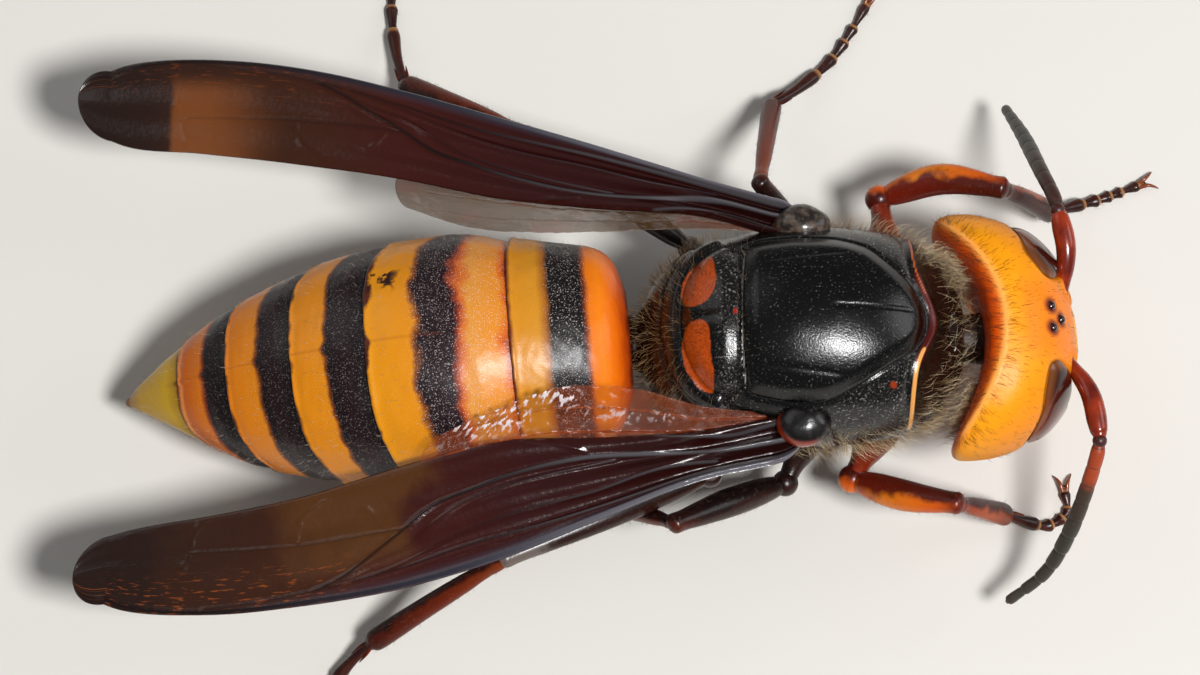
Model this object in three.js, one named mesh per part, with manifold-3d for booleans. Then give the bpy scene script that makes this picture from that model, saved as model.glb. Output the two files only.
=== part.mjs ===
// Asian giant hornet (Vespa mandarinia), a still, life-size model standing on its six feet.
// Millimetres, +X towards the head, +Y to the hornet's left, +Z up, the feet on Z = 0.
import * as THREE from "three";
import { mergeVertices } from "three/addons/utils/BufferGeometryUtils.js";
import Module from "manifold-3d";

const wasm = await Module();
wasm.setup();

// Driving dimensions

// Parts that touch in life keep this gap.
const gap = 0.3;
// From the middle of the thorax to the middle of the whole outline on the floor.
const originShift = { x: -1.2, y: -2.1 };

// The head hangs on the neck joint, turned a little to the left.
const head = {
  joint: new THREE.Vector3(16.0, 0.15, 7.0),
  yaw: THREE.MathUtils.degToRad(4),
  halfWidth: 5.3,
  halfDepth: 2.2,
  halfHeight: 4.1,
  middle: 2.0,
  sweep: 2.5,
  crownLean: 0.9,
  chinLean: 0.35,
  jawTaper: 0.18,
  napeHollow: 0.5,
};

// Each eye is a kidney shape, open towards the socket of the feeler: height against reach from the midline.
const eye = {
  outline: [[3.0, 2.2], [2.7, 3.3], [1.5, 4.45], [0.2, 4.8], [-1.1, 4.55], [-2.4, 3.8], [-2.65, 3.1],
    [-1.7, 2.8], [-0.6, 2.65], [0.2, 2.95], [1.0, 2.4], [1.9, 1.95], [2.7, 1.8]],
  back: 0.7,
  proud: 0.2,
};

// Clypeus: height against half width, from its upper edge to the bay between its two lower lobes.
const clypeus = {
  half: [[0.3, 0], [0.2, 1.1], [-0.6, 2.0], [-1.8, 2.35], [-3.2, 2.1], [-4.2, 1.15], [-4.45, 0.5], [-4.2, 0]],
  back: 2.9,
  proud: 0.14,
};

// Three simple eyes on the crown, in front of its ridge.
const ocelli = { radius: 0.3, places: [[0, 2.6], [0.52, 3.1], [-0.52, 3.1]] };

// Thorax outline: half width, highest and lowest point at stations along X.
const thoraxStations = [
  { at: 1.6, wide: 1.2, top: 8.4, bottom: 6.0 },
  { at: 2.2, wide: 2.3, top: 9.6, bottom: 5.2 },
  { at: 3.1, wide: 3.3, top: 10.8, bottom: 4.6 },
  { at: 4.3, wide: 3.95, top: 11.8, bottom: 4.0 },
  { at: 6.0, wide: 4.3, top: 12.5, bottom: 3.5 },
  { at: 8.5, wide: 4.55, top: 12.85, bottom: 3.3 },
  { at: 11.0, wide: 4.5, top: 12.6, bottom: 3.6 },
  { at: 12.8, wide: 4.15, top: 11.9, bottom: 4.2 },
  { at: 13.9, wide: 3.5, top: 10.8, bottom: 5.0 },
  { at: 14.8, wide: 2.3, top: 9.2, bottom: 6.2 },
];

// Plates of the back: the left half of each outline from above, and how far down the flanks it reaches.
const plates = {
  scutum: {
    half: [[5.9, 0], [5.9, 2.5], [6.5, 3.35], [8.6, 3.65], [10.6, 3.25], [12.3, 2.1], [13.3, 0.9], [13.5, 0]],
    low: 9.6,
  },
  scutellum: { half: [[3.3, 0], [3.55, 1.6], [4.3, 2.8], [5.3, 3.2], [5.6, 2.4], [5.6, 0]], low: 9.9 },
  metanotum: { half: [[2.45, 0], [2.75, 1.7], [3.6, 3.1], [4.9, 3.75], [5.2, 3.6], [5.2, 0]], low: 9.2 },
};
// The collar lies ahead of its rear edge and above its lower edge; the rear slope lies behind its front edge.
const collar = { rear: 9.9, low: 5.6 };
const rearSlope = { front: 3.4 };

// The gaster hangs on the waist, its axis sinking towards the tip, turned a little to the right.
const gaster = {
  joint: new THREE.Vector3(1.25, 0, 7.2),
  yaw: THREE.MathUtils.degToRad(4.5),
  length: 21.7,
  sink: 4.2,
  sinkPower: 2.2,
  sweepLeft: 1.2,
  sweepRight: 0.8,
  seams: [0, 0.2195, 0.477, 0.62, 0.751, 0.858, 1],
  stations: [
    { at: 0, wide: 2.2, up: 1.8, down: 1.4 },
    { at: 0.02, wide: 3.45, up: 2.8, down: 2.0 },
    { at: 0.05, wide: 4.1, up: 3.4, down: 2.5 },
    { at: 0.12, wide: 4.45, up: 3.85, down: 2.9 },
    { at: 0.24, wide: 4.9, up: 4.3, down: 3.4 },
    { at: 0.35, wide: 5.25, up: 4.55, down: 3.7 },
    { at: 0.47, wide: 5.2, up: 4.45, down: 3.7 },
    { at: 0.62, wide: 4.75, up: 3.8, down: 3.25 },
    { at: 0.78, wide: 3.6, up: 2.8, down: 2.4 },
    { at: 0.87, wide: 2.5, up: 2.0, down: 1.8 },
    { at: 0.95, wide: 1.2, up: 1.05, down: 1.0 },
    { at: 1, wide: 0.3, up: 0.25, down: 0.25 },
  ],
};

// Wings: the front edge and the rear edge from hinge to tip; veins run along the columns.
const wingThickness = 0.5;
const foreVeins = {
  height: 0.22,
  columns: [0, 0.05, 0.12, 0.2, 0.27, 0.34, 0.46, 0.53, 0.6, 0.76, 0.83, 0.9, 1],
};
const foreCrests = [1, 4, 7, 10];
const hindVeins = { height: 0.16, columns: [0, 0.2, 0.32, 0.44, 0.66, 0.78, 1] };
const hindCrests = [2, 4];
const crossVeins = [0.51, 0.71];
const foreRows = [
  0, 0.07, 0.15, 0.24, 0.33, 0.42, 0.48, 0.51, 0.54, 0.62, 0.68, 0.71, 0.74, 0.82, 0.89, 0.95, 0.985, 1,
];
const hindRows = [0, 0.12, 0.26, 0.4, 0.54, 0.68, 0.8, 0.91, 1];
const wings = {
  left: {
    hinge: new THREE.Vector3(7.1, 4.9, 10.1),
    front: [[7.3, 5.5, 10.1], [4.2, 6.4, 10.1], [0, 7.85, 9.8], [-4.3, 9.3, 9.3], [-8.6, 10.7, 8.8],
      [-12.9, 11.8, 8.4], [-17.2, 12.3, 8.0], [-20.5, 12.1, 7.7], [-22.3, 11.2, 7.5]],
    rear: [[7.2, 3.9, 10.1], [4.2, 4.75, 10.1], [-0.1, 5.15, 9.8], [-4.3, 5.75, 9.3], [-8.5, 6.75, 8.8],
      [-12.8, 7.5, 8.4], [-17.1, 8.1, 8.0], [-20.3, 8.5, 7.7], [-22.4, 9.6, 7.5]],
    lobeInner: [[6.6, 3.9, 10.0], [4.0, 3.75, 10.4], [1.0, 3.7, 10.6], [-2.2, 3.75, 10.6], [-5.4, 4.75, 9.8],
      [-8.3, 5.9, 9.0]],
    lobeOuter: [[6.4, 4.05, 10.0], [4.0, 4.4, 10.1], [0.9, 4.7, 9.9], [-2.4, 5.1, 9.6], [-5.6, 5.65, 9.3],
      [-8.4, 6.35, 8.9]],
  },
  right: {
    hinge: new THREE.Vector3(7.1, -5.0, 9.9),
    front: [[7.2, -5.9, 9.6], [4.2, -6.6, 9.7], [0, -8.2, 9.4], [-4.2, -9.8, 8.9], [-8.4, -10.95, 8.4],
      [-12.6, -11.6, 8.0], [-16.5, -11.9, 7.7], [-20.2, -11.6, 7.4], [-22.2, -10.6, 7.3]],
    rear: [[7.2, -3.9, 10.2], [4.2, -4.55, 10.3], [0, -4.85, 10.3], [-4.2, -5.0, 10.3], [-8.4, -5.95, 9.6],
      [-12.5, -7.1, 8.9], [-16.2, -7.75, 8.3], [-19.8, -8.3, 7.8], [-22.4, -9.1, 7.4]],
    lobeInner: [[6.6, -3.8, 10.4], [4.1, -3.7, 11.2], [1.5, -3.1, 11.7], [-1.7, -3.05, 11.7],
      [-4.6, -4.0, 11.2], [-7.6, -5.2, 10.3]],
    lobeOuter: [[6.4, -4.0, 10.2], [4.1, -4.25, 10.4], [1.4, -4.4, 10.5], [-1.8, -4.45, 10.5],
      [-4.7, -4.75, 10.4], [-7.7, -5.5, 10.0]],
  },
};

const tegula = {
  left: { centre: [8.5, 4.35, 10.2], radius: [1.15, 0.85, 0.8] },
  right: { centre: [8.5, -4.25, 10.3], radius: [1.15, 1.0, 0.8] },
};

// Feelers: a stiff scape and a ringed flagellum.
const antennae = {
  left: {
    scape: [[19.5, 1.95, 8.2], [19.75, 3.6, 8.9], [19.46, 5.18, 9.1]],
    flagellum: [[19.42, 5.3, 9.1], [19.3, 5.9, 8.9], [18.85, 7.49, 7.7], [18.4, 9.6, 5.4],
      [17.84, 11.67, 2.9]],
  },
  right: {
    scape: [[19.75, -1.05, 8.2], [20.65, -2.6, 8.6], [21.0, -4.35, 8.6]],
    flagellum: [[21.0, -4.6, 8.55], [20.92, -5.1, 8.2], [20.6, -6.2, 7.2], [19.96, -7.87, 5.6],
      [19.0, -9.35, 4.0], [17.47, -10.4, 2.9]],
  },
};
const scapeRadius = 0.45;
const flagellumRadius = 0.32;
const flagellumRings = 10;

// Legs: hip, trochanter, knee and ankle, then the path of the foot to its claws.
const footHeight = 0.2;
const legs = {
  front_left: {
    hip: [12.6, 2.8, 5.6], trochanter: [12.1, 7.0, 4.8],
    knee: [17.25, 6.95, 6.8], ankle: [19.84, 7.32, 1.5],
    foot: [[20.8, 7.75, 0.75], [22.3, 8.3, footHeight], [24.0, 8.93, footHeight]],
    thigh: 0.66, shin: 0.46, bend: [0, 0.55, 0.25],
  },
  front_right: {
    hip: [12.4, -2.4, 5.4], trochanter: [10.8, -5.3, 4.2],
    knee: [15.1, -6.87, 6.6], ankle: [17.58, -6.3, 1.5],
    foot: [[18.5, -6.45, 0.8], [19.6, -6.5, footHeight], [20.4, -5.9, footHeight], [20.3, -4.95, footHeight]],
    thigh: 0.66, shin: 0.46, bend: [0, -0.25, 0.25],
  },
  mid_left: {
    hip: [9.4, 2.3, 4.4], trochanter: [8.7, 5.2, 3.6],
    knee: [6.85, 7.0, 7.5], ankle: [7.63, 12.29, 1.5],
    foot: [[8.8, 13.2, 0.8], [10.3, 14.7, footHeight], [11.2, 16.0, footHeight], [12.0, 17.4, footHeight]],
    thigh: 0.56, shin: 0.4, bend: [0, 0, 0.2],
  },
  mid_right: {
    hip: [9.4, -2.3, 4.4], trochanter: [7.95, -5.4, 3.8],
    knee: [3.16, -7.86, 7.2], ankle: [0.52, -5.9, 1.5],
    foot: [[-0.5, -5.95, 0.8], [-2.2, -6.1, footHeight], [-4.6, -6.4, footHeight]],
    thigh: 0.62, shin: 0.4, bend: [0, 0, 0.2],
  },
  hind_left: {
    hip: [5.3, 2.2, 4.7], trochanter: [3.9, 5.0, 4.0],
    knee: [-3.2, 9.3, 6.9], ankle: [-8.65, 13.17, 1.5],
    foot: [[-9.1, 14.9, 0.8], [-9.35, 17.2, footHeight], [-9.2, 20.4, footHeight]],
    thigh: 0.58, shin: 0.46, bend: [0, 0, 0.3],
  },
  hind_right: {
    hip: [5.3, -2.2, 4.9], trochanter: [4.7, -5.3, 5.0],
    knee: [-4.0, -9.3, 6.9], ankle: [-9.83, -11.9, 1.5],
    foot: [[-10.9, -12.8, 0.8], [-12.1, -14.2, footHeight], [-13.4, -16.1, footHeight]],
    thigh: 0.58, shin: 0.46, bend: [0, 0, 0.3],
  },
};

// Finishes

function finish(colour, roughness) {
  return () => new THREE.MeshStandardMaterial({ color: colour, roughness, metalness: 0 });
}

const finishes = {
  orange: finish(0xf29a12, 0.42),
  eye: finish(0x4a1a10, 0.25),
  jaw: finish(0xd87912, 0.4),
  scape: finish(0x8c2a12, 0.3),
  flagellum: finish(0x2c2620, 0.5),
  black: finish(0x15130f, 0.45),
  collar: finish(0x3a2a18, 0.6),
  band: finish(0xd9761a, 0.4),
  tip: finish(0xe0a020, 0.35),
  wing: finish(0x3a1a10, 0.25),
  lobe: finish(0x6b5030, 0.2),
  thigh: finish(0xa8430f, 0.35),
  shin: finish(0x4a1c10, 0.35),
};

// Geometry helpers

// A smooth curve through the stations' values of one key.
function along(stations, at, key) {
  const last = stations.length - 1;
  let index = 0;
  while (index < last - 1 && at > stations[index + 1].at) {
    index += 1;
  }
  const from = stations[index];
  const to = stations[index + 1];
  const span = to.at - from.at;
  const slope = (middle) => {
    const before = stations[Math.max(middle - 1, 0)];
    const after = stations[Math.min(middle + 1, last)];
    return (after[key] - before[key]) / (after.at - before.at);
  };
  const u = THREE.MathUtils.clamp((at - from.at) / span, 0, 1);
  const square = u * u;
  const cube = square * u;
  return (2 * cube - 3 * square + 1) * from[key] + (cube - 2 * square + u) * span * slope(index)
    + (3 * square - 2 * cube) * to[key] + (cube - square) * span * slope(index + 1);
}

// Moves every vertex of a geometry to where place puts it.
function formed(geometry, place) {
  const positions = geometry.attributes.position;
  const vertex = new THREE.Vector3();
  for (let index = 0; index < positions.count; index += 1) {
    vertex.fromBufferAttribute(positions, index);
    const moved = place(vertex);
    positions.setXYZ(index, moved.x, moved.y, moved.z);
  }
  return geometry;
}

function solidOf(geometry) {
  const plain = geometry.clone();
  plain.deleteAttribute("normal");
  plain.deleteAttribute("uv");
  const merged = mergeVertices(plain, 1e-4);
  return new wasm.Manifold(new wasm.Mesh({
    numProp: 3,
    vertProperties: Float32Array.from(merged.attributes.position.array),
    triVerts: Uint32Array.from(merged.index.array),
  }));
}

// The largest closed surface of a solid, as a geometry.
function geometryOf(solid) {
  const pieces = solid.decompose();
  pieces.sort((one, other) => other.volume() - one.volume());
  const mesh = pieces[0].getMesh();
  const geometry = new THREE.BufferGeometry();
  geometry.setAttribute("position", new THREE.BufferAttribute(mesh.vertProperties, mesh.numProp));
  geometry.setIndex(new THREE.BufferAttribute(mesh.triVerts, 1));
  return geometry;
}

// A mesh whose geometry is given in its parent's frame, hung at an anchor point.
function hung(name, geometry, makeFinish, anchor = new THREE.Vector3()) {
  geometry.translate(-anchor.x, -anchor.y, -anchor.z);
  geometry.computeVertexNormals();
  const mesh = new THREE.Mesh(geometry, makeFinish());
  mesh.name = name;
  mesh.position.copy(anchor);
  return mesh;
}

// A tapered limb: rings of a given radius at a given distance along a smooth path.
function limb(path, rings, sides) {
  const curve = new THREE.CatmullRomCurve3(path.map((point) => new THREE.Vector3(...point)));
  const length = curve.getLength();
  const chord = new THREE.Vector3(...path[path.length - 1]).sub(new THREE.Vector3(...path[0]));
  const size = [Math.abs(chord.x), Math.abs(chord.y), Math.abs(chord.z)];
  const least = size.indexOf(Math.min(...size));
  const reference = new THREE.Vector3(least === 0 ? 1 : 0, least === 1 ? 1 : 0, least === 2 ? 1 : 0);
  const sleeve = new THREE.CylinderGeometry(1, 1, 1, sides, rings.length - 1);
  return formed(sleeve, (vertex) => {
    const ring = rings[Math.round((vertex.y + 0.5) * (rings.length - 1))];
    const share = THREE.MathUtils.clamp(ring.at, 0, 1);
    const tangent = curve.getTangentAt(share);
    const middle = curve.getPointAt(share);
    middle.addScaledVector(tangent, (ring.at - share) * length + (ring.past ?? 0));
    const across = reference.clone().cross(tangent).normalize().multiplyScalar(ring.radius);
    const over = across.clone().cross(tangent);
    return middle.addScaledVector(across, vertex.x).addScaledVector(over, vertex.z);
  });
}

// Rings for a limb with a rounded end, all grown by a margin.
function limbRings(radii, margin = 0) {
  const rings = radii.map(([at, radius]) => ({ at, radius: radius + margin, past: 0 }));
  const end = rings[rings.length - 1].radius;
  rings.push({ at: 1, radius: 0.78 * end, past: 0.62 * end });
  rings.push({ at: 1, radius: 0.3 * end, past: 0.95 * end });
  return rings;
}

function ellipsoid(centre, radius, sides = 14, rings = 10) {
  const geometry = new THREE.SphereGeometry(1, sides, rings);
  geometry.scale(...radius);
  geometry.translate(...centre);
  return geometry;
}

// An upright prism over an outline seen from above.
function prism(outline, low, high) {
  const shape = new THREE.Shape(outline);
  const geometry = new THREE.ExtrudeGeometry(shape, { depth: high - low, bevelEnabled: false });
  geometry.translate(0, 0, low);
  return geometry;
}

// A smooth closed outline, moved out from its middle by a margin.
function closedOutline(points, margin = 0, steps = 20) {
  const middle = new THREE.Vector2();
  points.forEach(([x, y]) => middle.add(new THREE.Vector2(x, y).divideScalar(points.length)));
  const moved = points.map(([x, y]) => {
    const point = new THREE.Vector2(x, y);
    return point.clone().addScaledVector(point.sub(middle).normalize(), margin);
  });
  return new THREE.SplineCurve([...moved, moved[0]]).getPoints(steps).slice(0, -1);
}

// The same from its left half, mirrored in the X axis.
function mirroredOutline(half, margin = 0, steps = 20) {
  const mirrored = half.slice(1, -1).reverse().map(([x, y]) => [x, -y]);
  return closedOutline([...half, ...mirrored], margin, steps);
}

const signedPower = (value, power) => Math.sign(value) * Math.abs(value) ** power;

// Head: a crescent from above, a broad shield from the front

function headGeometry(margin = 0, sides = 24, rings = 20) {
  const ball = new THREE.SphereGeometry(1, sides, rings);
  return formed(ball, (vertex) => {
    const side = THREE.MathUtils.clamp(vertex.y, -1, 1);
    const reach = Math.abs(side);
    const ring = Math.hypot(vertex.x, vertex.z);
    const forward = ring > 1e-9 ? vertex.x / ring : 0;
    const upward = ring > 1e-9 ? vertex.z / ring : 0;
    const fullness = Math.max(1 - reach ** 4.5, 0) ** 0.38;
    const front = signedPower(forward, 0.85);
    const height = signedPower(upward, 0.85);
    const lean = height > 0 ? head.crownLean * (1 - 0.6 * reach * reach) : head.chinLean;
    const hollow = head.napeHollow * Math.max(-front, 0) * (1 - reach * reach) ** 2;
    const middle = head.middle - head.sweep * reach ** 2.4;
    const depth = (head.halfDepth + margin) * fullness;
    const tall = (head.halfHeight - 1.1 * reach ** 2 + margin) * fullness;
    const taper = height < 0 ? 1 - head.jawTaper * height * height : 1;
    return new THREE.Vector3(
      middle + depth * front + hollow - lean * fullness * height * height,
      (head.halfWidth + margin) * side * taper,
      -0.1 + 0.3 * reach ** 2 + tall * height,
    );
  });
}

// A prism over an outline of height against sideways reach, drawn forwards from a plane across the head.
function facePrism(outline, back) {
  const geometry = prism(outline, 0, 5);
  const turn = new THREE.Matrix4().makeBasis(
    new THREE.Vector3(0, 0, 1), new THREE.Vector3(0, -1, 0), new THREE.Vector3(1, 0, 0),
  );
  geometry.applyMatrix4(turn);
  geometry.translate(back, 0, 0);
  return geometry;
}

function eyePrism(sign, margin = 0) {
  const points = eye.outline.map(([height, reach]) => [height, -sign * reach]);
  return facePrism(closedOutline(points, margin, 26), eye.back - margin);
}

function clypeusPrism(margin = 0) {
  return facePrism(mirroredOutline(clypeus.half, margin, 22), clypeus.back - margin);
}

// How far forward the crown lies at a height above the neck joint, on the midline.
function onCrown(z) {
  const height = (z + 0.1) / head.halfHeight;
  const upward = height ** (1 / 0.85);
  const forward = Math.sqrt(1 - upward * upward) ** 0.85;
  return head.middle + head.halfDepth * forward - head.crownLean * height * height;
}

function mandibleGeometry(sign) {
  const half = [[2.2, 2.6, -3.3], [2.65, 2.4, -4.3], [2.9, 1.55, -5.05], [3.0, 0.45, -5.3]];
  const rings = [[0, 0.8], [0.3, 0.8], [0.6, 0.62], [0.85, 0.42], [1, 0.26]];
  return limb(half.map(([x, y, z]) => [x, sign * y, z]), limbRings(rings), 8);
}

function mandibleTeeth(sign) {
  const roots = [[2.9, sign * 1.6, -4.95], [3.0, sign * 1.1, -5.05]];
  return roots.map(([x, y, z]) => limb([[x, y, z], [x + 0.1, y - sign * 0.35, z + 0.75]],
    [{ at: 0, radius: 0.3 }, { at: 0.6, radius: 0.24 }, { at: 1, radius: 0.08 }], 6));
}

function buildHead() {
  const group = new THREE.Group();
  group.position.copy(head.joint);
  group.rotation.z = head.yaw;
  group.updateMatrix();
  const skull = solidOf(headGeometry());
  const clear = solidOf(headGeometry(gap));
  let cranium = skull.subtract(solidOf(clypeusPrism(gap)));
  let shield = solidOf(headGeometry(clypeus.proud)).intersect(solidOf(clypeusPrism()));
  [1, -1].forEach((sign) => {
    cranium = cranium.subtract(solidOf(eyePrism(sign, gap)));
    shield = shield.subtract(solidOf(eyePrism(sign, gap)));
  });
  ocelli.places.forEach(([y, z]) => {
    cranium = cranium.add(solidOf(ellipsoid([onCrown(z), y, z], Array(3).fill(ocelli.radius), 8, 6)));
  });
  group.add(hung("head", geometryOf(cranium), finishes.orange));
  group.add(hung("clypeus", geometryOf(shield), finishes.orange));
  const shieldClear = solidOf(clypeusPrism(gap)).intersect(solidOf(headGeometry(clypeus.proud + gap)));
  [["left", 1], ["right", -1]].forEach(([side, sign]) => {
    const lens = solidOf(headGeometry(eye.proud)).intersect(solidOf(eyePrism(sign)));
    group.add(hung(`eye_${side}`, geometryOf(lens), finishes.eye, new THREE.Vector3(2.3, sign * 3.4, 0.2)));
    let jaw = solidOf(mandibleGeometry(sign));
    mandibleTeeth(sign).forEach((tooth) => {
      jaw = jaw.add(solidOf(tooth));
    });
    jaw = jaw.subtract(clear).subtract(shieldClear);
    const jawRoot = new THREE.Vector3(2.6, sign * 2.4, -4.2);
    group.add(hung(`mandible_${side}`, geometryOf(jaw), finishes.jaw, jawRoot));
  });
  const lipPath = [[1.2, 0, -2.9], [1.5, 0, -4.3], [1.7, 0, -5.2]];
  const lip = solidOf(limb(lipPath, limbRings([[0, 1.0], [0.6, 0.85], [1, 0.5]]), 8));
  group.add(hung("mouthparts", geometryOf(lip.subtract(clear).subtract(shieldClear)), finishes.jaw));
  return { group, clear: solidOf(headGeometry(gap).applyMatrix4(group.matrix)) };
}

// Thorax: one body parted along its plates

function thoraxGeometry(margin = 0, sides = 28, rings = 16) {
  const first = thoraxStations[0].at;
  const last = thoraxStations[thoraxStations.length - 1].at;
  const sleeve = new THREE.CylinderGeometry(1, 1, 1, sides, rings);
  return formed(sleeve, (vertex) => {
    const share = vertex.y + 0.5;
    const eased = 0.5 - 0.5 * Math.cos(Math.PI * share);
    const x = THREE.MathUtils.lerp(first, last, 0.4 * share + 0.6 * eased);
    const top = along(thoraxStations, x, "top") + margin;
    const bottom = along(thoraxStations, x, "bottom") - margin;
    const middle = bottom + 0.5 * (top - bottom);
    const wide = along(thoraxStations, x, "wide") + margin;
    const up = signedPower(vertex.x, 0.92);
    const side = signedPower(vertex.z, 0.92);
    const past = share === 0 ? -margin : share === 1 ? margin : 0;
    return new THREE.Vector3(x + past, side * wide, middle + up * 0.5 * (top - bottom));
  });
}

function boxSolid(low, high) {
  const size = high.map((value, axis) => value - low[axis]);
  const geometry = new THREE.BoxGeometry(...size);
  geometry.translate(...low.map((value, axis) => value + size[axis] / 2));
  return solidOf(geometry);
}

function buildThorax() {
  const group = new THREE.Group();
  const body = solidOf(thoraxGeometry());
  const clear = solidOf(thoraxGeometry(gap));
  const cutter = ({ half, low }) => (grow) => solidOf(prism(mirroredOutline(half, grow), low - grow, 14));
  const scutum = cutter(plates.scutum);
  const scutellum = cutter(plates.scutellum);
  const metanotum = cutter(plates.metanotum);
  const pronotum = (margin) => boxSolid([collar.rear - margin, -6, collar.low - margin], [16, 6, 14]);
  const propodeum = (margin) => boxSolid([0, -6, 0], [rearSlope.front + margin, 6, 14]);
  const ruff = body.intersect(pronotum(0)).subtract(scutum(gap));
  const back = body.intersect(scutum(0));
  const shieldlet = body.intersect(scutellum(0)).subtract(scutum(gap));
  const narrow = body.intersect(metanotum(0)).subtract(scutellum(gap)).subtract(scutum(gap));
  const rear = body.intersect(propodeum(0)).subtract(metanotum(gap)).subtract(scutellum(gap));
  let chest = body.subtract(scutum(gap)).subtract(scutellum(gap)).subtract(metanotum(gap));
  chest = chest.subtract(pronotum(gap)).subtract(propodeum(gap));
  group.add(hung("pronotum", geometryOf(ruff), finishes.collar));
  group.add(hung("mesoscutum", geometryOf(back), finishes.black));
  group.add(hung("scutellum", geometryOf(shieldlet), finishes.band));
  group.add(hung("metanotum", geometryOf(narrow), finishes.black));
  group.add(hung("propodeum", geometryOf(rear), finishes.collar));
  group.add(hung("mesothorax", geometryOf(chest), finishes.black));
  return { group, clear };
}

function buildNeck(headClear, thoraxClear) {
  const path = [[13.8, 0, 7.6], [15.0, 0.05, 7.5], [16.8, 0.15, 7.3]];
  const rings = [{ at: 0, radius: 1.2 }, { at: 0.5, radius: 1.05 }, { at: 1, radius: 1.2 }];
  const neck = solidOf(limb(path, rings, 10));
  return hung("neck", geometryOf(neck.subtract(headClear).subtract(thoraxClear)), finishes.collar);
}

// Gaster: six telescoping rings along a sinking axis

// Towards the flanks the edge of a ring sweeps forwards.
function gasterPoint(share, across, over, scale) {
  const slope = (gaster.sink * gaster.sinkPower * share ** (gaster.sinkPower - 1)) / gaster.length;
  const pitch = Math.atan(slope);
  const rise = over * scale * along(gaster.stations, share, over > 0 ? "up" : "down");
  const reach = across > 0 ? gaster.sweepLeft : gaster.sweepRight;
  const sweep = reach * Math.abs(across) ** 5 * THREE.MathUtils.smoothstep(share, 0.15, 0.45);
  return new THREE.Vector3(
    sweep - gaster.length * share - rise * Math.sin(pitch),
    across * scale * along(gaster.stations, share, "wide"),
    -gaster.sink * share ** gaster.sinkPower + rise * Math.cos(pitch),
  );
}

const ringSteps = [
  { at: 0, scale: 0.93 },
  { at: 0.12, scale: 0.975 },
  { at: 0.5, scale: 1 },
  { at: 0.9, scale: 1.012 },
  { at: 1, scale: 0.99 },
];
const waistSteps = [0, 0.07, 0.16, 0.3, 0.5, 0.75, 0.93, 1].map((at) => ({ at, scale: at < 0.9 ? 1 : 1.01 }));
const tipSteps = [
  { at: 0, scale: 0.93 },
  { at: 0.15, scale: 0.98 },
  { at: 0.45, scale: 1 },
  { at: 0.75, scale: 1 },
  { at: 1, scale: 1 },
];

function gasterRing(index) {
  const last = gaster.seams.length - 2;
  const steps = index === 0 ? waistSteps : index === last ? tipSteps : ringSteps;
  const from = gaster.seams[index];
  const to = gaster.seams[index + 1] - (index === last ? 0 : gap / gaster.length);
  const sleeve = new THREE.CylinderGeometry(1, 1, 1, 26, steps.length - 1);
  return formed(sleeve, (vertex) => {
    const step = steps[Math.round((vertex.y + 0.5) * (steps.length - 1))];
    return gasterPoint(THREE.MathUtils.lerp(from, to, step.at), -vertex.z, vertex.x, step.scale);
  });
}

function buildGaster() {
  const group = new THREE.Group();
  group.position.copy(gaster.joint);
  group.rotation.z = gaster.yaw;
  group.updateMatrix();
  for (let index = 0; index < gaster.seams.length - 1; index += 1) {
    const ring = geometryOf(solidOf(gasterRing(index)));
    group.add(hung(`gaster_${index + 1}`, ring, index === 5 ? finishes.tip : finishes.band));
  }
  return group;
}

// Wings: a thin plate between two edges, its veins raised along some columns

function wingPlate(frontPath, rearPath, veins, crests, rows, crossing) {
  const front = new THREE.CatmullRomCurve3(frontPath.map((point) => new THREE.Vector3(...point)));
  const rear = new THREE.CatmullRomCurve3(rearPath.map((point) => new THREE.Vector3(...point)));
  const columns = veins.columns;
  const plate = new THREE.BoxGeometry(1, 1, 1, columns.length - 1, 1, rows.length - 1);
  return formed(plate, (vertex) => {
    const column = Math.round((vertex.x + 0.5) * (columns.length - 1));
    const row = rows[Math.round((vertex.z + 0.5) * (rows.length - 1))];
    const point = front.getPoint(row).lerp(rear.getPoint(row), columns[column]);
    const slim = 1 - 0.45 * row;
    if (vertex.y > 0) {
      const crest = crests.includes(column);
      const crossed = crossing.includes(row) && column > 1 && column < columns.length - 3;
      point.z += crest || crossed ? veins.height * slim : 0;
    } else {
      point.z -= wingThickness * (row === 1 ? 0.6 : 1);
    }
    return point;
  });
}

// A plate whose faces point inwards, because its edges run the other way, is turned inside out.
function outward(geometry) {
  const index = geometry.index;
  const positions = geometry.attributes.position;
  const corner = (place) => new THREE.Vector3().fromBufferAttribute(positions, index.getX(place));
  let volume = 0;
  for (let place = 0; place < index.count; place += 3) {
    volume += corner(place).dot(corner(place + 1).cross(corner(place + 2)));
  }
  if (volume < 0) {
    for (let place = 0; place < index.count; place += 3) {
      const second = index.getX(place + 1);
      index.setX(place + 1, index.getX(place + 2));
      index.setX(place + 2, second);
    }
  }
  return geometry;
}

function buildWings(thoraxClear) {
  const group = new THREE.Group();
  ["left", "right"].forEach((side) => {
    const wing = wings[side];
    const { centre, radius } = tegula[side];
    const scaleClear = solidOf(ellipsoid(centre, radius.map((size) => size + gap)));
    const forePlate = wingPlate(wing.front, wing.rear, foreVeins, foreCrests, foreRows, crossVeins);
    const hindPlate = wingPlate(wing.lobeOuter, wing.lobeInner, hindVeins, hindCrests, hindRows, []);
    const fore = solidOf(outward(forePlate));
    const hind = solidOf(outward(hindPlate));
    const scale = solidOf(ellipsoid(centre, radius, 12, 8)).subtract(thoraxClear);
    const foreCut = fore.subtract(thoraxClear).subtract(scaleClear);
    group.add(hung(`forewing_${side}`, geometryOf(foreCut), finishes.wing, wing.hinge));
    group.add(hung(`hindwing_${side}`, geometryOf(hind.subtract(thoraxClear)), finishes.lobe, wing.hinge));
    group.add(hung(`tegula_${side}`, geometryOf(scale), finishes.black, new THREE.Vector3(...centre)));
  });
  return group;
}

// Feelers

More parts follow.
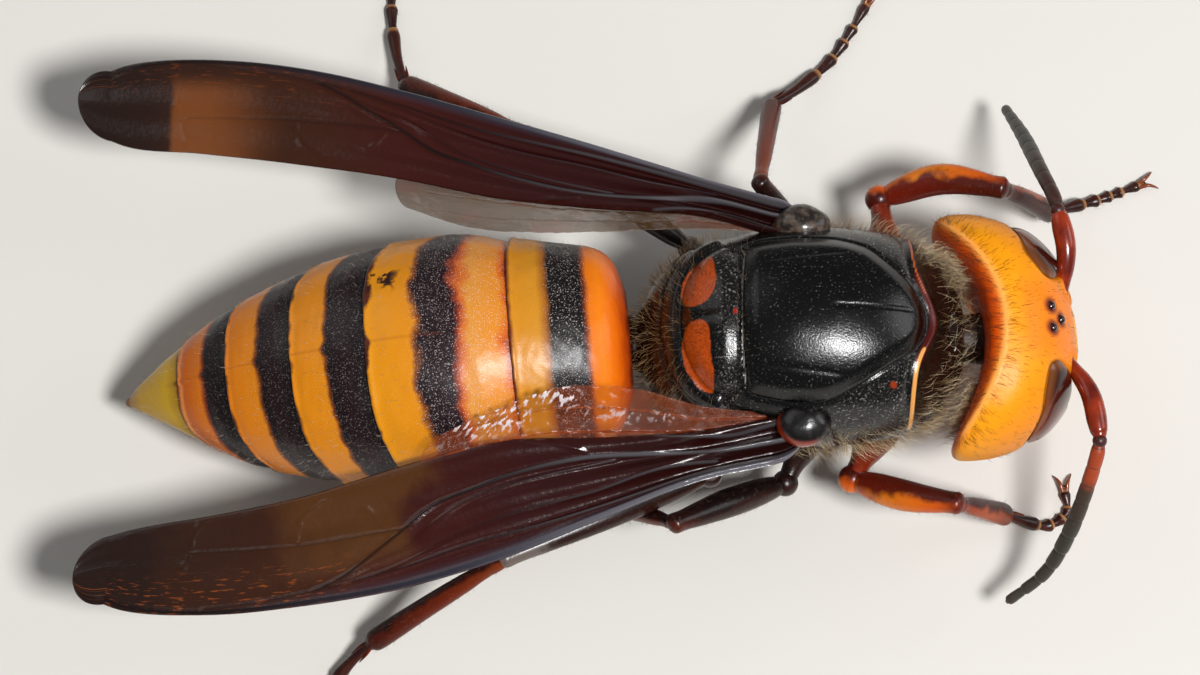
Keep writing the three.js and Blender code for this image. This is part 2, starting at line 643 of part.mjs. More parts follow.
function buildAntenna(side, headClear) {
  const group = new THREE.Group();
  const { scape, flagellum } = antennae[side];
  const stalkRadii = [[0, 0.3], [0.12, 0.3], [0.3, scapeRadius], [0.75, scapeRadius], [1, 0.36]];
  const stalk = (margin) => solidOf(limb(scape, limbRings(stalkRadii, margin), 8));
  const rings = [{ at: 0, radius: 0.24 }, { at: 0.04, radius: 0.26 }];
  for (let index = 0; index < flagellumRings; index += 1) {
    const from = 0.06 + (0.9 * index) / flagellumRings;
    const swell = 1 - 0.28 * Math.abs(index / flagellumRings - 0.45);
    rings.push({ at: from, radius: flagellumRadius * swell * 0.88 });
    rings.push({ at: from + 0.045, radius: flagellumRadius * swell });
  }
  rings.push({ at: 0.985, radius: flagellumRadius * 0.7 });
  rings.push({ at: 1, radius: flagellumRadius * 0.3 });
  const whip = solidOf(limb(flagellum, rings, 7)).subtract(stalk(gap));
  const start = new THREE.Vector3(...scape[0]);
  const elbow = new THREE.Vector3(...flagellum[0]);
  group.add(hung(`antenna_${side}_scape`, geometryOf(stalk(0).subtract(headClear)), finishes.scape, start));
  group.add(hung(`antenna_${side}_flagellum`, geometryOf(whip), finishes.flagellum, elbow));
  return group;
}

// Legs

function bentPath(from, to, bend) {
  const middle = from.map((value, axis) => 0.5 * (value + to[axis]) + bend[axis]);
  return [from, middle, to];
}

function clawGeometry(tip, direction, turn) {
  const heading = direction.clone().applyAxisAngle(new THREE.Vector3(0, 0, 1), turn);
  const root = tip.clone().addScaledVector(heading, -0.25);
  const knuckle = tip.clone().addScaledVector(heading, 0.35);
  const point = tip.clone().addScaledVector(heading, 0.75);
  knuckle.z += 0.18;
  point.z -= 0.05;
  const rings = [{ at: 0, radius: 0.19 }, { at: 0.55, radius: 0.15 }, { at: 1, radius: 0.05 }];
  return limb([root.toArray(), knuckle.toArray(), point.toArray()], rings, 4);
}

function tarsusRings(radius) {
  const joints = [0, 0.4, 0.56, 0.69, 0.8, 1];
  const rings = [];
  for (let index = 0; index < 5; index += 1) {
    const span = joints[index + 1] - joints[index];
    rings.push({ at: joints[index] + 0.06 * span, radius: radius * 0.8 });
    rings.push({ at: joints[index] + 0.92 * span, radius });
  }
  return rings;
}

function buildLeg(name, leg, thoraxClear) {
  const group = new THREE.Group();
  const start = new THREE.Vector3(...leg.hip);
  const hipRadius = leg.thigh * 1.55;
  const scaled = (shares, size) => shares.map(([at, share]) => [at, share * size]);
  const hipRadii = [[0, hipRadius], [0.55, hipRadius * 0.85], [0.8, leg.thigh * 0.95], [1, leg.thigh * 0.98]];
  const thighRadii = scaled([[0, 0.7], [0.2, 0.9], [0.5, 1], [0.8, 0.86], [1, 0.8]], leg.thigh);
  const shinRadii = scaled([[0, 0.75], [0.2, 0.9], [0.6, 1], [0.9, 1.1], [1, 0.85]], leg.shin);
  const femurPath = bentPath(leg.trochanter, leg.knee, leg.bend);
  const tibiaPath = bentPath(leg.knee, leg.ankle, [0, 0, 0.5 * leg.bend[2]]);
  const coxaSolid = (margin) => solidOf(limb([leg.hip, leg.trochanter], limbRings(hipRadii, margin), 8));
  const femurSolid = (margin) => solidOf(limb(femurPath, limbRings(thighRadii, margin), 8));
  const tibiaSolid = (margin) => solidOf(limb(tibiaPath, limbRings(shinRadii, margin), 7));
  const footPath = [leg.ankle, ...leg.foot];
  const tip = new THREE.Vector3(...footPath[footPath.length - 1]);
  const before = new THREE.Vector3(...footPath[footPath.length - 2]);
  const direction = tip.clone().sub(before).setZ(0).normalize();
  const ground = boxSolid([-40, -40, -3], [40, 40, 0]);
  let foot = solidOf(limb(footPath, tarsusRings(0.31), 6));
  [0.5, -0.5].forEach((turn) => {
    foot = foot.add(solidOf(clawGeometry(tip, direction, turn)));
  });
  foot = foot.subtract(tibiaSolid(gap)).subtract(ground);
  const parts = [
    ["coxa", coxaSolid(0).subtract(thoraxClear), finishes.black, start],
    ["femur", femurSolid(0).subtract(coxaSolid(gap)), finishes.thigh, new THREE.Vector3(...leg.trochanter)],
    ["tibia", tibiaSolid(0).subtract(femurSolid(gap)), finishes.shin, new THREE.Vector3(...leg.knee)],
    ["tarsus", foot, finishes.shin, new THREE.Vector3(...leg.ankle)],
  ];
  parts.forEach(([part, solid, makeFinish, anchor]) => {
    group.add(hung(`leg_${name}_${part}`, geometryOf(solid), makeFinish, anchor));
  });
  return group;
}

// The whole hornet

const hornet = new THREE.Group();
hornet.position.set(originShift.x, originShift.y, 0);
const builtHead = buildHead();
const builtThorax = buildThorax();
hornet.add(builtHead.group);
hornet.add(builtThorax.group);
hornet.add(buildNeck(builtHead.clear, builtThorax.clear));
hornet.add(buildGaster());
hornet.add(buildWings(builtThorax.clear));
["left", "right"].forEach((side) => hornet.add(buildAntenna(side, builtHead.clear)));
Object.entries(legs).forEach(([name, leg]) => hornet.add(buildLeg(name, leg, builtThorax.clear)));

export default hornet;
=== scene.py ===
import functools
import math

import bmesh
import bpy
import numpy as np
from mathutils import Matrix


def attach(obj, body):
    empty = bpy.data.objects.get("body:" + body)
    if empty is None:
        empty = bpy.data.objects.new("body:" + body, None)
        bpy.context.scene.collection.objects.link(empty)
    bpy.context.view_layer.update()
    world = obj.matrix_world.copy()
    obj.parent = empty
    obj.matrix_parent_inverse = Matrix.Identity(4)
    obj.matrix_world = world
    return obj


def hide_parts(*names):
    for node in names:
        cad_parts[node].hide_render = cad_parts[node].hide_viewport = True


# Asian giant hornet (Vespa mandarinia), a still, life-size model on its six feet.
# Shapes are worked out in millimetres from the thorax's own origin, +X to the head, +Y to its left.
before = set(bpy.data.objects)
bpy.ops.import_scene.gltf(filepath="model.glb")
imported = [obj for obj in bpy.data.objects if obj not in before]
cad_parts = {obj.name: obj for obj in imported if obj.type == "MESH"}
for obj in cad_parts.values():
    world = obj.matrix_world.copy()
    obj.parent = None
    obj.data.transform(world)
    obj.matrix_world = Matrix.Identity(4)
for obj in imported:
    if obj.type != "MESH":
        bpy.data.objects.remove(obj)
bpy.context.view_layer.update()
mm = 0.001
middleOfOutline = np.array([-1.2, -2.1, 0.0])


# Number helpers
def placed(points):
    return (points + middleOfOutline) * mm


def unit(vectors):
    return vectors / np.maximum(np.linalg.norm(vectors, axis=-1, keepdims=True), 1e-12)


def smoothStep(values, low, high):
    share = np.clip((values - low) / (high - low), 0, 1)
    return share * share * (3 - 2 * share)


def ridge(distance, width):
    return np.exp(-((distance / width) ** 2))


def signedPower(values, power):
    return np.sign(values) * np.abs(values) ** power


def ripple(points, size, seed, waves=9):
    # uneven waves of about this size, between -1 and 1
    random = np.random.default_rng(seed)
    total = np.zeros(len(points))
    for _ in range(waves):
        heading = unit(random.normal(size=3))
        turns = 2 * np.pi / (size * random.uniform(0.7, 1.5))
        total += np.sin(points @ heading * turns + random.uniform(0, 6.3))
    return total / waves ** 0.5 / 1.5


def through(stations, at, column=1):
    # a smooth curve through the stations, as in the solids
    table = np.asarray(stations, float)
    places, values = table[:, 0], table[:, column]
    last = len(places) - 1
    before = np.maximum(np.arange(last + 1) - 1, 0)
    after = np.minimum(np.arange(last + 1) + 1, last)
    slopes = (values[after] - values[before]) / (places[after] - places[before])
    index = np.clip(np.searchsorted(places, at, side="left") - 1, 0, last - 1)
    span = places[index + 1] - places[index]
    u = np.clip((at - places[index]) / span, 0, 1)
    return ((2 * u ** 3 - 3 * u ** 2 + 1) * values[index] + (u ** 3 - 2 * u ** 2 + u) * span * slopes[index]
            + (3 * u ** 2 - 2 * u ** 3) * values[index + 1] + (u ** 3 - u ** 2) * span * slopes[index + 1])


def curveThrough(points, at):
    # an open curve through the points, even shares of `at` from one to the next
    points = np.asarray(points, float)
    longer = np.vstack([2 * points[0] - points[1], points, 2 * points[-1] - points[-2]])
    place = np.clip(at, 0, 1) * (len(points) - 1)
    index = np.minimum(place.astype(int), len(points) - 2)
    u = (place - index)[..., None]
    before, start, end, after = (longer[index + step] for step in range(4))
    first, middle, last = (np.linalg.norm(b - a, axis=-1, keepdims=True) ** 0.5
                           for a, b in ((before, start), (start, end), (end, after)))
    leave = middle * ((start - before) / first - (end - before) / (first + middle) + (end - start) / middle)
    reach = middle * ((end - start) / middle - (after - start) / (middle + last) + (after - end) / last)
    return ((2 * u ** 3 - 3 * u ** 2 + 1) * start + (u ** 3 - 2 * u ** 2 + u) * leave
            + (3 * u ** 2 - 2 * u ** 3) * end + (u ** 3 - u ** 2) * reach)


def closedCurve(points, at):
    points = np.asarray(points, float)
    count = len(points)
    place = (at % 1) * count
    index = place.astype(int) % count
    u = (place - place.astype(int))[..., None]
    before, start, end, after = (points[(index + step) % count] for step in (-1, 0, 1, 2))
    leave, reach = (end - before) / 2, (after - start) / 2
    return ((2 * u ** 3 - 3 * u ** 2 + 1) * start + (u ** 3 - 2 * u ** 2 + u) * leave
            + (3 * u ** 2 - 2 * u ** 3) * end + (u ** 3 - u ** 2) * reach)


def insideBy(points, outline):
    # millimetres from a closed outline, more than 0 inside it
    nearest = np.full(len(points), 1e9)
    inside = np.zeros(len(points), bool)
    for start, end in zip(outline, np.roll(outline, -1, axis=0)):
        edge = end - start
        share = np.clip(((points - start) @ edge) / max(edge @ edge, 1e-12), 0, 1)
        nearest = np.minimum(nearest, np.linalg.norm(points - start - share[:, None] * edge, axis=1))
        crosses = (start[1] > points[:, 1]) != (end[1] > points[:, 1])
        level = np.where(crosses, (points[:, 1] - start[1]) / (edge[1] or 1), 0)
        inside ^= crosses & (points[:, 0] < start[0] + level * edge[0])
    return np.where(inside, nearest, -nearest)


def turned(points, angle):
    # turned about the upright axis
    x = points[..., 0] * math.cos(angle) - points[..., 1] * math.sin(angle)
    y = points[..., 0] * math.sin(angle) + points[..., 1] * math.cos(angle)
    return np.stack([x, y, points[..., 2]], -1)


def outlineOf(points, steps=90):
    return closedCurve(points, np.arange(steps) / steps)


def mirroredOutline(half, steps=90):
    return outlineOf(list(half) + [(x, -y) for x, y in reversed(half[1:-1])], steps)


# Mesh helpers
def readAll(collection, key, width):
    values = np.empty(len(collection) * width, np.float32)
    collection.foreach_get(key, values)
    return values.reshape(-1, width).astype(float)


def mark(mesh, label, values):
    layer = mesh.attributes.get(label) or mesh.attributes.new(label, "FLOAT", "POINT")
    layer.data.foreach_set("value", np.asarray(values, np.float32))


def bodyPoints(mesh):
    return readAll(mesh.vertices, "co", 3) / mm - middleOfOutline


def bentSkin(shape, around, along, marks=None):
    # a grid bent into a closed skin by shape(u, v), u round it and v along it
    grid = bmesh.new()
    bmesh.ops.create_grid(grid, x_segments=around, y_segments=along, size=0.5)
    mesh = bpy.data.meshes.new("skin")
    grid.to_mesh(mesh)
    grid.free()
    counts = np.array([around, along])
    shares = np.round((readAll(mesh.vertices, "co", 3)[:, :2] + 0.5) * counts) / counts
    corners = np.empty(len(mesh.loops), np.int32)
    mesh.loops.foreach_get("vertex_index", corners)
    mesh.uv_layers.new(name="skinMap").data.foreach_set("uv", shares[corners].astype(np.float32).ravel())
    u, v = shares[:, 0], shares[:, 1]
    mesh.vertices.foreach_set("co", placed(shape(u, v)).astype(np.float32).ravel())
    for label, values in (marks or {}).items():
        mark(mesh, label, values(u, v))
    weld = bmesh.new()
    weld.from_mesh(mesh)
    bmesh.ops.remove_doubles(weld, verts=weld.verts, dist=0.0004 * mm)
    bmesh.ops.recalc_face_normals(weld, faces=weld.faces)
    weld.to_mesh(mesh)
    weld.free()
    return mesh


def carve(mesh, detail):
    # moves every point along its normal by detail(points, normals), in millimetres
    points = bodyPoints(mesh)
    normals = readAll(mesh.vertices, "normal", 3)
    points += normals * detail(points, normals)[:, None]
    mesh.vertices.foreach_set("co", placed(points).astype(np.float32).ravel())
    mesh.update()
    return mesh


def joined(meshes):
    whole = bmesh.new()
    for mesh in meshes:
        whole.from_mesh(mesh)
        bpy.data.meshes.remove(mesh)
    mesh = bpy.data.meshes.new("skin")
    whole.to_mesh(mesh)
    whole.free()
    return mesh


def makePiece(name, mesh, finish, nodes=()):
    mesh.name = name
    mesh.shade_smooth()
    mesh.materials.append(finish)
    piece = bpy.data.objects.new(name, mesh)
    bpy.context.scene.collection.objects.link(piece)
    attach(piece, "root")
    if nodes:
        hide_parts(*nodes)
    return piece


def limbShape(path, profile, span=(0, 1), flat=1.0, capShare=0.08):
    # a limb along a smooth path, its radius from the profile, round at both ends
    stations, capDepth = 160, 0.7
    line = curveThrough(path, np.linspace(0, 1, 240))
    walked = np.concatenate([[0], np.cumsum(np.linalg.norm(np.diff(line, axis=0), axis=1))])
    walked /= walked[-1]
    even = np.stack([np.interp(np.linspace(*span, stations), walked, line[:, axis]) for axis in range(3)], 1)
    tangents = unit(np.gradient(even, axis=0))
    side = np.cross([0, 0, 1.0], tangents[0])
    if np.linalg.norm(side) < 0.2:
        side = np.cross([0, 1.0, 0], tangents[0])
    sides = []
    for tangent in tangents:
        side = unit(side - (side @ tangent) * tangent)
        sides.append(side)
    sides = np.array(sides)
    marks = np.linspace(0, 1, stations)

    def at(table, share):
        return np.stack([np.interp(share, marks, table[:, axis]) for axis in range(3)], -1)

    def shape(u, v):
        share = np.clip((v - capShare) / (1 - 2 * capShare), 0, 1)
        radius = through(profile, share)
        start = np.clip(v / capShare, 0, 1) * np.pi / 2
        end = np.clip((1 - v) / capShare, 0, 1) * np.pi / 2
        ring = np.sin(np.minimum(start, end)) * radius
        past = capDepth * radius * (np.cos(end) - np.cos(start))
        tangent = unit(at(tangents, share))
        across = unit(at(sides, share))
        over = np.cross(tangent, across)
        turn = 2 * np.pi * u
        return (at(even, share) + tangent * past[:, None] + across * (ring * np.cos(turn))[:, None]
                + over * (ring * flat * np.sin(turn))[:, None])

    return shape


def beadShape(centre, radius):
    def shape(u, v):
        ring = np.sin(np.pi * v)
        ball = np.stack([ring * np.cos(2 * np.pi * u), ring * np.sin(2 * np.pi * u), -np.cos(np.pi * v)], -1)
        return np.asarray(centre) + ball * np.asarray(radius)
    return shape


# Hairs: thin curved cones of ten triangles, joined in one mesh
def scatter(meshes, count, weight, seed):
    # random roots on some skins, closer together where weight is higher
    random = np.random.default_rng(seed)
    corners, normals, maps = [], [], []
    for place, mesh in enumerate(meshes):
        mesh.calc_loop_triangles()
        vertexOf = np.empty(len(mesh.loop_triangles) * 3, np.int32)
        loopOf = np.empty(len(mesh.loop_triangles) * 3, np.int32)
        mesh.loop_triangles.foreach_get("vertices", vertexOf)
        mesh.loop_triangles.foreach_get("loops", loopOf)
        corners.append(bodyPoints(mesh)[vertexOf].reshape(-1, 3, 3))
        normals.append(readAll(mesh.vertices, "normal", 3)[vertexOf].reshape(-1, 3, 3))
        tile = readAll(mesh.uv_layers["skinMap"].data, "uv", 2)[loopOf].reshape(-1, 3, 2)
        tile[..., 0] = (tile[..., 0] + place) / len(meshes)
        maps.append(tile)
    corners, normals, maps = (np.concatenate(table) for table in (corners, normals, maps))
    first, second = corners[:, 1] - corners[:, 0], corners[:, 2] - corners[:, 0]
    areas = 0.5 * np.linalg.norm(np.cross(first, second), axis=1)
    chance = areas * np.clip(weight(corners.mean(axis=1), unit(normals.mean(axis=1))), 0, None)
    chosen = random.choice(len(chance), size=count, p=chance / chance.sum())
    spread = random.uniform(size=(count, 2))
    spread = np.where(spread.sum(axis=1, keepdims=True) > 1, 1 - spread, spread)
    shares = np.column_stack([1 - spread.sum(axis=1), spread])[:, :, None]
    return {
        "at": (corners[chosen] * shares).sum(axis=1),
        "normal": unit((normals[chosen] * shares).sum(axis=1)),
        "map": (maps[chosen] * shares).sum(axis=1),
    }


def growHair(name, roots, plan, lie, finish, seed):
    # plan: length, thick and stand (how steeply they leave the skin); lie: the way they lean
    random = np.random.default_rng(seed)
    at, normal = roots["at"], roots["normal"]
    count = len(at)
    lean = lie(at) if callable(lie) else np.tile(np.asarray(lie, float), (count, 1))
    lean = lean + plan.get("stray", 0.35) * random.normal(size=(count, 3))
    lean = unit(lean - (lean * normal).sum(axis=1, keepdims=True) * normal)
    length = plan["length"](at) if callable(plan["length"]) else np.full(count, plan["length"])
    length = length * random.uniform(0.55, 1.15, count)
    thick = plan["thick"] * random.uniform(0.7, 1.2, count)
    stand = np.clip(plan["stand"] + 0.2 * random.normal(size=count), 0.05, 3)[:, None]
    start = unit(normal * stand + lean * 0.6)
    end = unit(normal * stand * 0.5 + lean + 0.25 * random.normal(size=(count, 3)))
    base = at - normal * 0.03
    middle = base + start * (0.5 * length)[:, None]
    tip = middle + end * (0.5 * length)[:, None]
    across = unit(np.cross(start, normal + 0.01))
    over = np.cross(start, across)
    turns = np.array([0, 2, 4]) * np.pi / 3
    vertices = np.empty((count, 7, 3))
    for place, turn in enumerate(turns):
        spoke = across * math.cos(turn) + over * math.sin(turn)
        vertices[:, place] = base + spoke * thick[:, None]
        vertices[:, place + 3] = middle + spoke * (0.62 * thick)[:, None]
    vertices[:, 6] = tip
    quads = np.array([0, 1, 4, 3, 1, 2, 5, 4, 2, 0, 3, 5])
    triangles = np.array([3, 4, 6, 4, 5, 6, 5, 3, 6, 0, 2, 1])
    first = np.arange(count)[:, None] * 7
    loops = np.concatenate([first + quads, first + triangles], axis=1).ravel()
    starts = (np.arange(count)[:, None] * 24 + np.array([0, 4, 8, 12, 15, 18, 21])).ravel()
    mesh = bpy.data.meshes.new(name)
    mesh.vertices.add(count * 7)
    mesh.loops.add(len(loops))
    mesh.polygons.add(len(starts))
    mesh.vertices.foreach_set("co", placed(vertices.reshape(-1, 3)).astype(np.float32).ravel())
    mesh.loops.foreach_set("vertex_index", loops.astype(np.int32))
    mesh.polygons.foreach_set("loop_start", starts.astype(np.int32))
    mesh.update(calc_edges=True)
    # each hair's own patch, about 0.003 across, lies at its root's place on the skin's map
    patch = np.vstack([0.0015 * np.column_stack([np.cos(turns), np.sin(turns)]),
                       0.0009 * np.column_stack([np.cos(turns), np.sin(turns)]), [[0, 0]]])
    maps = (0.003 + 0.994 * roots["map"])[:, None, :] + patch
    corners = maps.reshape(-1, 2)[loops]
    mesh.uv_layers.new(name="OFBake").data.foreach_set("uv", corners.astype(np.float32).ravel())
    shade = random.uniform(0, 0.6, count)[:, None] + np.array([0, 0, 0, 0.2, 0.2, 0.2, 0.4])
    mark(mesh, "shade", shade.ravel())
    mesh.validate()
    return makePiece(name, mesh, finish)


# Material helpers
def fromHex(code):
    values = [int(code[place:place + 2], 16) / 255 for place in (1, 3, 5)]
    return (*[v / 12.92 if v <= 0.04045 else ((v + 0.055) / 1.055) ** 2.4 for v in values], 1.0)


nodeKinds = {
    # node, its own settings, where the values go in order, the socket that it gives
    "sum": ("Math", {"operation": "ADD"}, (0, 1), 0),
    "difference": ("Math", {"operation": "SUBTRACT"}, (0, 1), 0),
    "product": ("Math", {"operation": "MULTIPLY"}, (0, 1), 0),
    "larger": ("Math", {"operation": "MAXIMUM"}, (0, 1), 0),
    "absolute": ("Math", {"operation": "ABSOLUTE"}, (0,), 0),
    "zigzag": ("Math", {"operation": "PINGPONG"}, (0, 1), 0),
    "blend": ("Mix", {"data_type": "RGBA"}, (0, 6, 7), 2),
    "ramp": ("ValToRGB", {}, ("Fac", "stops"), "Color"),
    "edge": ("MapRange", {"interpolation_type": "SMOOTHSTEP"}, ("Value", "From Min", "From Max"), "Result"),
    "range": ("MapRange", {}, ("Value", "From Min", "From Max", "To Min", "To Max"), "Result"),
    "mark": ("Attribute", {}, ("attribute_name",), "Fac"),
    "place": ("TexCoord", {}, (), "Object"),
    "noise": ("TexNoise", {}, ("Vector", "Scale", "Detail"), "Fac"),
    "cells": ("TexVoronoi", {}, ("Vector", "Scale"), "Distance"),
    "bump": ("Bump", {}, ("Height", "Strength", "Distance", "invert"), "Normal"),
    "skinMap": ("UVMap", {"uv_map": "skinMap"}, (), "UV"),
    "along": ("SeparateXYZ", {}, ("Vector",), "Y"),
    "lay": ("CombineXYZ", {}, ("X", "Y"), "Vector"),
    "stretch": ("Mapping", {}, ("Vector", "Scale"), "Vector"),
}


def fill(node, values):
    # lower-case keys are the node's own settings, other keys its sockets; stops fill a colour ramp
    for key, value in values.items():
        if key == "stops":
            stops = node.color_ramp.elements
            for place, (position, code) in enumerate(value):
                stop = stops[place] if place < 2 else stops.new(1.0)
                stop.position, stop.color = position, fromHex(code)
        elif isinstance(key, str) and key[0].islower():
            setattr(node, key, value)
        elif isinstance(value, bpy.types.NodeSocket):
            node.id_data.links.new(value, node.inputs[key])
        else:
            node.inputs[key].default_value = fromHex(value) if isinstance(value, str) else value


def addNode(tree, kind, *values):
    # adds one of nodeKinds; a value is a socket to link, a hex code or a number
    label, settings, places, given = nodeKinds[kind]
    node = tree.nodes.new("ShaderNode" + label)
    fill(node, {**settings, **dict(zip(places, values))})
    return node.outputs[given]


def startFinish(name, roughness, coat=0.0, specular=0.4):
    # insect cuticle is a clear-surfaced horn, so its IOR is near 1.56; fine pores dull its mirror part
    material = bpy.data.materials.new(name)
    material.use_nodes = True
    tree = material.node_tree
    shader = tree.nodes["Principled BSDF"]
    fill(shader, {"Roughness": roughness, "IOR": 1.56, "Specular IOR Level": specular, "Coat Weight": coat,
                  "Coat Roughness": 0.12})
    return material, functools.partial(addNode, tree), shader


def plainFinish(name, code, roughness, coat=0.0):
    # horn or cuticle of one colour
    material, _, shader = startFinish(name, roughness, coat)
    fill(shader, {"Base Color": code})
    return material


def grain(add, size, detail=2.0):
    # noise whose spots are about `size` millimetres wide
    return add("noise", add("place"), 1 / (size * mm), detail)


def pitted(add, size, depth, strength=0.5):
    # fine pits in the surface, `size` and `depth` in millimetres
    return add("bump", grain(add, size, 3.0), strength, depth * mm)


# Head: a crescent from above, a broad shield from the front
headPlan = {
    "joint": (16.0, 0.15, 7.0), "yaw": math.radians(4),
    "halfWidth": 5.3, "halfDepth": 2.2, "halfHeight": 4.1, "middle": 2.0, "sweep": 2.5,
    "crownLean": 0.9, "chinLean": 0.35, "jawTaper": 0.18, "napeHollow": 0.5,
    "socket": (1.6, 1.2),  # of a feeler: its reach from the midline and its height
    "ocelli": ((2.6, 0.0), (3.1, 0.5), (3.1, -0.45)),
}
eyePlan = {
    "left": ((3.05, 2.2), (3.0, 3.1), (1.8, 4.3), (0.3, 4.7), (-1.0, 4.3), (-2.15, 3.55), (-2.55, 3.0),
             (-1.7, 2.7), (-0.6, 2.65), (0.2, 2.95), (1.0, 2.5), (1.9, 2.05), (2.7, 1.85)),
    "right": ((3.0, 2.2), (2.55, 3.25), (1.3, 4.3), (0.1, 4.65), (-1.0, 4.3), (-2.15, 3.55), (-2.55, 3.0),
              (-1.7, 2.7), (-0.6, 2.65), (0.2, 2.95), (1.0, 2.4), (1.9, 1.95), (2.7, 1.8)),
    "middle": (0.5, 3.62), "lift": 0.26, "sunk": 0.5,
}
shieldPlan = {
    "half": ((0.3, 0), (0.2, 1.1), (-0.6, 2.0), (-1.8, 2.35), (-3.2, 2.1), (-4.2, 1.15),
             (-4.45, 0.5), (-4.2, 0)),
    "middle": (-1.9, 0.0), "lift": 0.24, "sunk": 0.4,
}


def fromHead(points):
    return turned(points, headPlan["yaw"]) + np.array(headPlan["joint"])


def toHead(points):
    return turned(points - np.array(headPlan["joint"]), -headPlan["yaw"])


def headPoint(side, angle):
    # in the head's own frame: side from -1 to 1 across it, angle round it from the front upwards
    plan = headPlan
    reach = np.abs(side)
    fullness = np.maximum(1 - reach ** 4.5, 0) ** 0.38
    front = signedPower(np.cos(angle), 0.85)
    height = signedPower(np.sin(angle), 0.85)
    lean = np.where(height > 0, plan["crownLean"] * (1 - 0.6 * reach * reach), plan["chinLean"])
    hollow = plan["napeHollow"] * np.maximum(-front, 0) * (1 - reach * reach) ** 2
    middle = plan["middle"] - plan["sweep"] * reach ** 2.4
    tall = (plan["halfHeight"] - 1.1 * reach ** 2) * fullness
    taper = np.where(height < 0, 1 - plan["jawTaper"] * height * height, 1)
    return np.stack([
        middle + plan["halfDepth"] * fullness * front + hollow - lean * fullness * height * height,
        plan["halfWidth"] * side * taper,
        -0.1 + 0.3 * reach ** 2 + tall * height,
    ], -1)


def onFace(y, z, lift=0.0):
    # the front of the head at a sideways reach and a height, lifted off it by some millimetres
    side = y / headPlan["halfWidth"]
    for _ in range(14):
        reach = np.minimum(np.abs(side), 0.995)
        tall = (headPlan["halfHeight"] - 1.1 * reach ** 2) * (1 - reach ** 4.5) ** 0.38
        height = np.clip((z + 0.1 - 0.3 * reach ** 2) / tall, -0.995, 0.995)
        side = y / headPlan["halfWidth"] / np.where(height < 0, 1 - headPlan["jawTaper"] * height ** 2, 1)
    angle = np.arcsin(signedPower(height, 1 / 0.85))
    small = 0.004
    middle = headPoint(side, angle)
    normal = unit(np.cross(headPoint(side + small, angle) - headPoint(side - small, angle),
                           headPoint(side, angle + small) - headPoint(side, angle - small)))
    normal *= np.sign((normal * (middle - np.array([1.5, 0, 0]))).sum(axis=-1, keepdims=True))
    return middle + normal * np.asarray(lift)[..., None]


def spotOnFace(reach, height, lift):
    return fromHead(onFace(np.array([reach]), np.array([height]), lift))[0]


def lensShape(outline, middle, sign, plan):
    # a closed lens over an outline of height against reach on the face
    middle = np.array(middle)

    def shape(u, v):
        share = np.sin(np.pi * v)
        rim = closedCurve(outline, u)
        flat = middle + (rim - middle) * share[:, None]
        raised = np.where(v < 0.5, plan["lift"] * (1 - share ** 5), -plan["sunk"] * (1 - share ** 2)) - 0.03
        return fromHead(onFace(sign * flat[:, 1], flat[:, 0], raised))

    return shape


def eyeEdge(own):
    # millimetres inside the outline of the eye of this side
    flat = np.column_stack([own[:, 2], np.abs(own[:, 1])])
    return np.where(own[:, 1] > 0, *(insideBy(flat, outlineOf(eyePlan[side])) for side in ("left", "right")))


def shieldEdge(own):
    return insideBy(np.column_stack([own[:, 2], np.abs(own[:, 1])]), mirroredOutline(shieldPlan["half"]))


def ridgeLine(points):
    # millimetres behind the ridge of the crown
    return (0.95 - 0.1 * points[:, 1] ** 2) - points[:, 0]


def headDetail(points, normals):
    own = toHead(points)
    reach = np.abs(own[:, 1])
    face = smoothStep(own[:, 0], 0.6, 1.6)
    crown = smoothStep(own[:, 2], 1.2, 2.6)
    detail = 0.1 * ridge(ridgeLine(own), 0.24) * crown
    # a fine furrow from the simple eyes down between the feelers
    furrow = smoothStep(own[:, 2], 0.4, 0.9) * (1 - smoothStep(own[:, 2], 2.2, 2.6)) * face
    detail -= 0.07 * ridge(own[:, 1], 0.09) * furrow
    # sockets of the feelers, each with a low rim
    fromSocket = np.linalg.norm(np.column_stack([reach, own[:, 2]]) - headPlan["socket"], axis=1)
    detail += face * (0.09 * ridge(fromSocket - 0.55, 0.12) - 0.3 * (1 - smoothStep(fromSocket, 0.25, 0.5)))
    eyes, shield = eyeEdge(own), shieldEdge(own)
    detail -= smoothStep(own[:, 0], 0.1, 0.6) * (0.09 * ridge(eyes, 0.1) + 0.16 * smoothStep(eyes, 0.0, 0.25))
    detail -= face * (0.08 * ridge(shield, 0.1) + 0.06 * (shield > 0.1))
    detail += 0.012 * ripple(points, 1.1, 3)
    return detail


